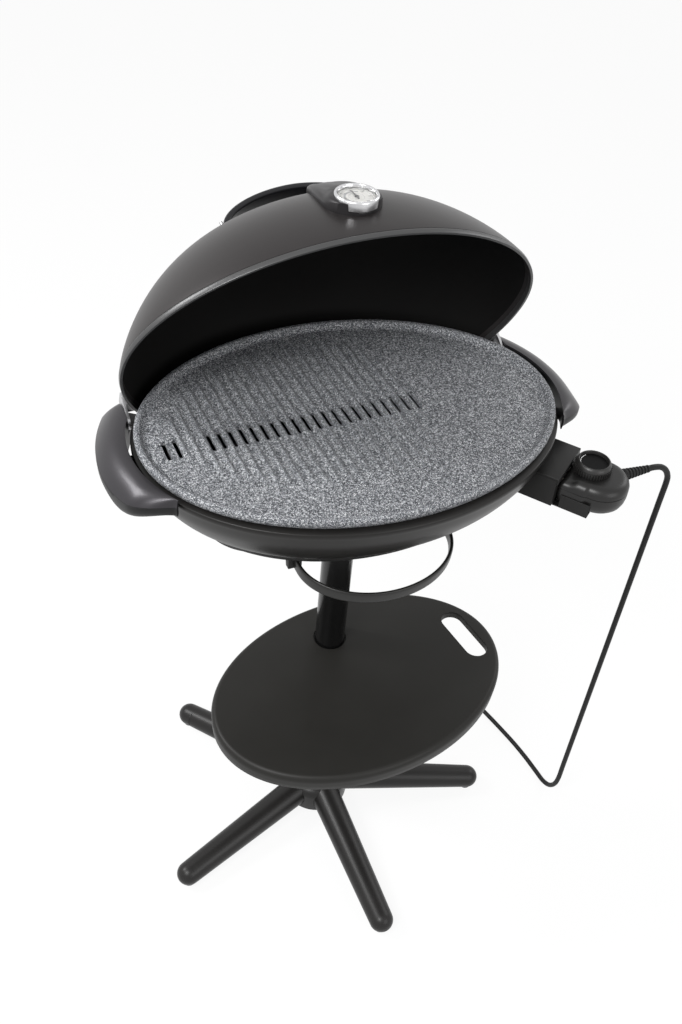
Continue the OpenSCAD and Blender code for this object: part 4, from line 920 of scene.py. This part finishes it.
def topSection(w):
    s = handle["shell"] * min(1, w / 9)
    steps = [0, 0.12, 0.25, 0.37, 0.5, 0.6, 0.7, 0.78, 0.85, 0.91, 0.95, 0.98, 1]
    outer = [(k * w, crown(k)) for k in steps]
    inner = [(w - s, handle["split"])] + [(k * (w - s), crown(k) - handle["shell"])
            for k in (0.95, 0.85, 0.7, 0.5, 0.25, 0)]
    return outer + inner


def baseSection(w):
    s = handle["shell"] * min(1, w / 9) + 0.2
    low, split = handle["low"], handle["split"]
    return ([(0, low + 7), (0, handle["top"] - 3.2)]
            + [(k * (w - s), crown(k) - 3.2) for k in (0.25, 0.5, 0.7, 0.85, 0.95)]
            + [(w - s, split - 0.2), (w - 0.5, split - 0.2), (w, split - 0.8), (w, split - 6),
                (0.985 * w, low + 15), (0.94 * w, low + 10),
               (0.87 * w, low + 5.6), (0.77 * w, low + 2.2), (0.65 * w, low + 0.4), (0.5 * w, low),
               (0.25 * w, low + 2.4)])


def makeHandles():
    c = handle
    stops = [c["front"] + (c["rear"] - c["front"]) * i / c["stations"] for i in range(c["stations"] + 1)]
    points, faces = cylinder((c["cheek"] - 60, lid["pivotY"], lid["pivotZ"]), (1, 0, 0), 60, c["room"], 96)
    room = [(x, y, max(z, lid["pivotZ"] - c["under"])) for x, y, z in points], faces
    bore = cylinder((c["cheek"] - 1, lid["pivotY"], lid["pivotZ"]), (1, 0, 0), 23, 4.05, 48)
    wall = loft([even(270, 204, z) for z in (755, 835)])
    for side, mirror in (("right", 1), ("left", -1)):
        flip = Matrix.Diagonal((mirror, 1, 1, 1))
        top = meshFrom(side + "Top", loft([handleRing(t, topSection(handleReach(t))) for t in stops]))
        base = meshFrom(side + "Base", loft([handleRing(t, baseSection(handleReach(t))) for t in stops]))
        for mesh in (top, base):
            facedOut(mesh)
        made = [addPiece(side + "HandleTop", top, "handleLacquer", "stand",
                [side + "_handle_top"], [room], angle=40),
                addPiece(side + "HandleBase", base, "handleBlack", "stand",
                    [side + "_handle_base"], [room, bore, wall], angle=40)]
        if mirror < 0:
            for obj in made:
                obj.data.transform(flip)
                obj.data.flip_normals()
        for k, y in enumerate(c["bosses"]):
            x = 264 if y < 0 else 272
            block = loft([[(x + u, y + v, z) for u, v in ((-9, -9), (9, -9), (9, 9), (-9, 9))]
                    for z in (790, 798)])
            mesh = meshFrom(side + "Boss", block)
            mesh.transform(flip)
            if mirror < 0:
                mesh.flip_normals()
            addPiece(side + "Bracket" + str(k), mesh, "handleBlack", "stand", cuts=[wall],
                    bevel=0.8)


makeHandles()
dress("handle_screws", "zincSteel")
print("bowl and handles made")


# Thermostat

knob = {"x": 264, "y": -155, "base": 782.4, "height": 14, "radius": 24, "grips": 44, "turn": -54}
atKnob = Matrix.Translation((knob["x"] * mm, knob["y"] * mm,
        knob["base"] * mm)) @ Matrix.Rotation(math.radians(knob["turn"]), 4, "Z")


def makeKnob():
    r, h = knob["radius"], knob["height"]
    skirt = [(3, 0.2), (6, 0.2), (6, h - 6.2), (r - 3.4, h - 6.2), (r - 3.4, 0), (r - 1.6, 0), (r - 1.3, 0.4),
            (r - 1.3, h - 6.2), (r - 1.5, h - 4.6),
             (r - 2.2, h - 2.6), (r - 3.3, h - 0.9), (r - 4.6, h), (r - 5.2, h - 0.2), (r - 5.6, h - 1.0),
             (r - 6.2, h - 4.6), (3, h - 4.8)]
    addPiece("controlKnob", lathe(skirt, 128), "knobGraphite", "knob", ["control_knob"],
            angle=40,
             change=atKnob)
    well = [(0.02, h - 4.8), (r - 6.25, h - 4.8), (r - 6.25, h - 4.3), (0.02, h - 4.3)]
    addPiece("knobWell", lathe(well, 96), "knobWell", "knob", change=atKnob)
    addArc("knobGrips", {"Count": knob["grips"], "Radius": r - 1.0, "Start": 0.0,
            "Step": math.tau / knob["grips"], "Block": (2.0, 1.5, h - 6.4),
                         "Centre": (0, 0, (h - 6.4) / 2 + 0.2)}, "knobGraphite", "knob",
                         atKnob)
    addArc("knobScale", {"Count": 34, "Radius": r - 7.6, "Start": math.radians(150), "Step": math.radians(4),
            "Block": (0.7, 1.1, 0.12),
                         "Centre": (0, 0, h - 4.25)}, "markWhite", "knob", atKnob)


makeKnob()


# Control shell: a rounded drum with a neck, and a groove where its halves meet

control = {"drum": (14, -2), "drumRadius": 37, "neckStart": -26.8, "neckSides": (-41, 15), "neckDrop": 5,
        "middle": (8, -6), "sides": 144,
           "steps": [(740, 17), (740.5, 12), (742.5, 7), (746.5, 3.2), (752.5, 0.9), (759, 0), (766.4, 0),
               (766.9, 0.9), (767.5, 0.9),
                     (767.9, 0.1), (772, 0.3), (775.6, 1.5), (778.6, 3.7), (780.6, 6.4), (781.7, 9.6),
                     (782, 14)]}


def controlReach(c, turn):
    dx, dy = math.cos(turn), math.sin(turn)
    mx, my = c["middle"]
    ox, oy = mx - c["drum"][0], my - c["drum"][1]
    along = ox * dx + oy * dy
    reach = -along + math.sqrt(along * along - ox * ox - oy * oy + c["drumRadius"] ** 2)
    if dx < 0:
        side = (c["neckSides"][1 if dy > 0 else 0] - my) / dy if abs(dy) > 1e-6 else 1e6
        reach = max(reach, min((c["neckStart"] - mx) / dx, side))
    return reach


def makeControl():
    c = control
    reaches = [controlReach(c, math.tau * i / c["sides"]) for i in range(c["sides"])]
    for _ in range(2):
        reaches = [(reaches[i - 1] + 2 * reaches[i] + reaches[(i + 1) % c["sides"]]) / 4
                for i in range(c["sides"])]
    rings = []
    for z, inset in c["steps"]:
        ring = []
        for i, reach in enumerate(reaches):
            turn = math.tau * i / c["sides"]
            x = c["middle"][0] + (reach - inset) * math.cos(turn)
            neck = min(1, max(0, (-2 - x) / 14))
            low = 1 - neck * neck * (3 - 2 * neck) * c["neckDrop"] / 15
            ring.append((x, c["middle"][1] + (reach - inset) * math.sin(turn), z if z < 767
                    else 767 + (z - 767) * low))
        rings.append(ring)
    mesh = meshFrom("controlShell", loft(rings))
    place = Matrix.Translation((knob["x"] * mm, knob["y"] * mm,
            0)) @ Matrix.Rotation(math.radians(knob["turn"]), 4, "Z")
    addPiece("controlShell", mesh, "controlBlack", "stand",
            ["controller_base", "controller_top"], angle=50, change=place)


makeControl()
for name, finish, bevel in (
        ("socket_housing", "matteBlack", 1.0), ("socket_cover", "coverCharcoal", 0.8),
        ("thermostat_shield", "coverCharcoal", 0.3),
        ("thermostat_switch", "switchBlock", 0.5),
        ("heat_probe", "elementSteel", 0), ("knob_shaft", "zincSteel", 0.2)):
    dress(name, finish, bevel)
print("thermostat made")


# Stand, shelf and rail

shelf = {"a": 226, "b": 154, "top": 404, "height": 25, "wall": 3, "turn": 7, "forward": 88, "holeX": 186,
        "hole": (35, 95), "lip": 12, "poleHole": 24.4}
rail = {"x": -9, "y": -112, "z": 694, "halfWidth": 102, "depth": 75, "end": 8, "tall": 17, "thick": 5,
        "steps": 72}


def makeShelf():
    c = shelf
    a, b, w, top = c["a"], c["b"], c["wall"], c["top"]
    outer = [(1.4, top - c["height"]), (1, top - c["height"] + 0.6), (0.5, top - 17), (0.1, top - 11),
            (0, top - 8.6), (0.4, top - 6.2),
             (1.2, top - 4.2), (2.4, top - 2.4), (3.9, top - 1.1), (5.6, top - 0.3), (7.6, top)]
    inner = [(4 + w, top - w), (1 + w, top - w - 4), (w, top - 10), (1 + w, top - c["height"])]
    rings = [even(a - p, b - p, z) for p, z in inner + outer]
    turn = Matrix.Rotation(math.radians(c["turn"]), 4, "Z") @ Matrix.Translation((0, -c["forward"] * mm, 0))
    half, length = c["hole"][0] / 2, c["hole"][1] / 2
    outline = [(c["holeX"] + half * math.cos(math.radians(t)),
            s * (length - half) + half * math.sin(math.radians(t)))
               for s, first in ((1, 0), (-1, 180)) for t in range(first, first + 181, 10)]
    turns = [math.radians(t) for first in (0, 180) for t in range(first, first + 181, 10)]
    hole = loft([[(x, y, z) for x, y in outline] for z in (top - 40, top + 20)])
    pole = cylinder((0, c["forward"], top - 40), (0, 0, 1), 80, c["poleHole"])
    addPiece("shelf", loft(rings), "shelfCharcoal", "stand", ["shelf"], [hole, pole],
            angle=40, change=turn)
    collar = []
    for grow, z in ((0, top - 0.2), (0, top - c["lip"]), (2.4, top - c["lip"]), (2.4, top - 1)):
        collar.append([(x + grow * math.cos(t), y + grow * math.sin(t), z) for (x, y),
                t in zip(outline, turns)])
    addPiece("holeCollar", loft(collar, wrap=True), "shelfCharcoal", "stand", angle=40,
            change=turn)


def makeRail():
    c = rail
    arc = []
    for i in range(c["steps"] + 1):
        t = math.pi + math.pi * i / c["steps"]
        arc.append((c["x"] + c["halfWidth"] * math.cos(t), c["y"] + c["depth"] * math.sin(t),
                c["z"] + 8 * math.sin(t)))
    path = [(arc[0][0], arc[0][1] + c["end"], arc[0][2])] + arc + [(arc[-1][0], arc[-1][1] + c["end"],
            arc[-1][2])]
    outline = []
    for i in range(40):
        t = math.tau * i / 40
        outline.append((c["tall"] / 2 * math.copysign(abs(math.cos(t)) ** 0.5, math.cos(t)),
                        c["thick"] / 2 * math.copysign(abs(math.sin(t)) ** 0.7, math.sin(t))))
    addPiece("utensilRail", tube(path, outline, (0, 0, 1)), "railBlack", "stand",
            ["utensil_rail"], angle=50)


makeShelf()
makeRail()
for name, finish, bevel in (
        ("base_hub", "legBlack", 0.8), ("base_legs", "legBlack", 0), ("leg_caps", "legBlack", 0),
        ("foot_pads", "padRubber", 0),
        ("pole_bolt", "zincSteel", 0.5), ("pole_tube", "poleEnamel", 0), ("shelf_collar", "matteBlack", 0.5),
        ("shelf_screws", "matteBlack", 0),
        ("pole_socket", "matteBlack", 0.5), ("socket_screws", "zincSteel", 0),
        ("tray_runners", "zincSteel", 0.2), ("grease_tray", "matteBlack", 0.4),
        ("rail_lugs", "matteBlack", 1.0), ("heat_reflector", "brightSheet", 0),
        ("heating_element", "elementSteel", 0),
        ("element_clips", "zincSteel", 0.2)):
    dress(name, finish, bevel)
print("stand made")


# Floor, background and light

studio = {"floor": (0.86, 0.86, 0.86), "sky": 0.62, "whiteness": 0.9, "lamps": [
    ("keyPanel", (-1.5, -1.0, 2.5), (0, 0, 0.9), 1.0, 52),
    ("frontPanel", (0.9, -2.4, 1.5), (0, 0, 0.6), 1.4, 16),
    ("rightPanel", (2.4, 0.3, 1.9), (0, 0, 0.8), 1.0, 10),
    ("backPanel", (-1.9, 1.1, 2.4), (-0.2, 0.1, 0.95), 0.9, 46)]}


def seenDirectly(graph):
    rays = [graph.node("ShaderNodeLightPath", None, None, kind)
            for kind in ("Is Camera Ray", "Is Glossy Ray", "Is Transmission Ray")]
    return rays[0].maths("MAXIMUM", rays[0], rays[1].maths("MAXIMUM", rays[1], rays[2]))


def makeStudio():
    mesh = bpy.data.meshes.new("floor")
    mesh.from_pydata([(-30, -30, 0), (30, -30, 0), (30, 30, 0), (-30, 30, 0)], [], [(0, 1, 2, 3)])
    floor = linked("floor", mesh)
    material, graph, body = newFinish("paleFloor", Base_Color=(*studio["floor"], 1), Roughness=0.9)
    glow = graph.node("ShaderNodeEmission", None, {"Color": (1, 1, 1, 1), "Strength": 1.0})
    seen = seenDirectly(graph) * studio["whiteness"]
    mixed = graph.node("ShaderNodeMixShader", None, {0: seen, 1: Wire(graph, body.outputs[0]), 2: glow})
    graph.feed(material.node_tree.nodes["Material Output"].inputs["Surface"], mixed)
    mesh.materials.append(material)
    world = bpy.data.worlds.new("studio")
    world.use_nodes = True
    bpy.context.scene.world = world
    graph = Graph(world.node_tree)
    strength = studio["sky"] + (1 - studio["sky"]) * seenDirectly(graph)
    back = world.node_tree.nodes["Background"]
    back.inputs["Color"].default_value = (1, 1, 1, 1)
    graph.feed(back.inputs["Strength"], strength)
    for name, place, target, size, power in studio["lamps"]:
        lamp = bpy.data.lights.new(name, "AREA")
        lamp.shape, lamp.size, lamp.energy = "SQUARE", size, power
        obj = linked(name, lamp)
        obj.location = place
        obj.rotation_euler = (Vector(target) - Vector(place)).to_track_quat("-Z", "Y").to_euler()


makeStudio()
bpy.context.scene.view_settings.view_transform = "Standard"
print("studio lit")
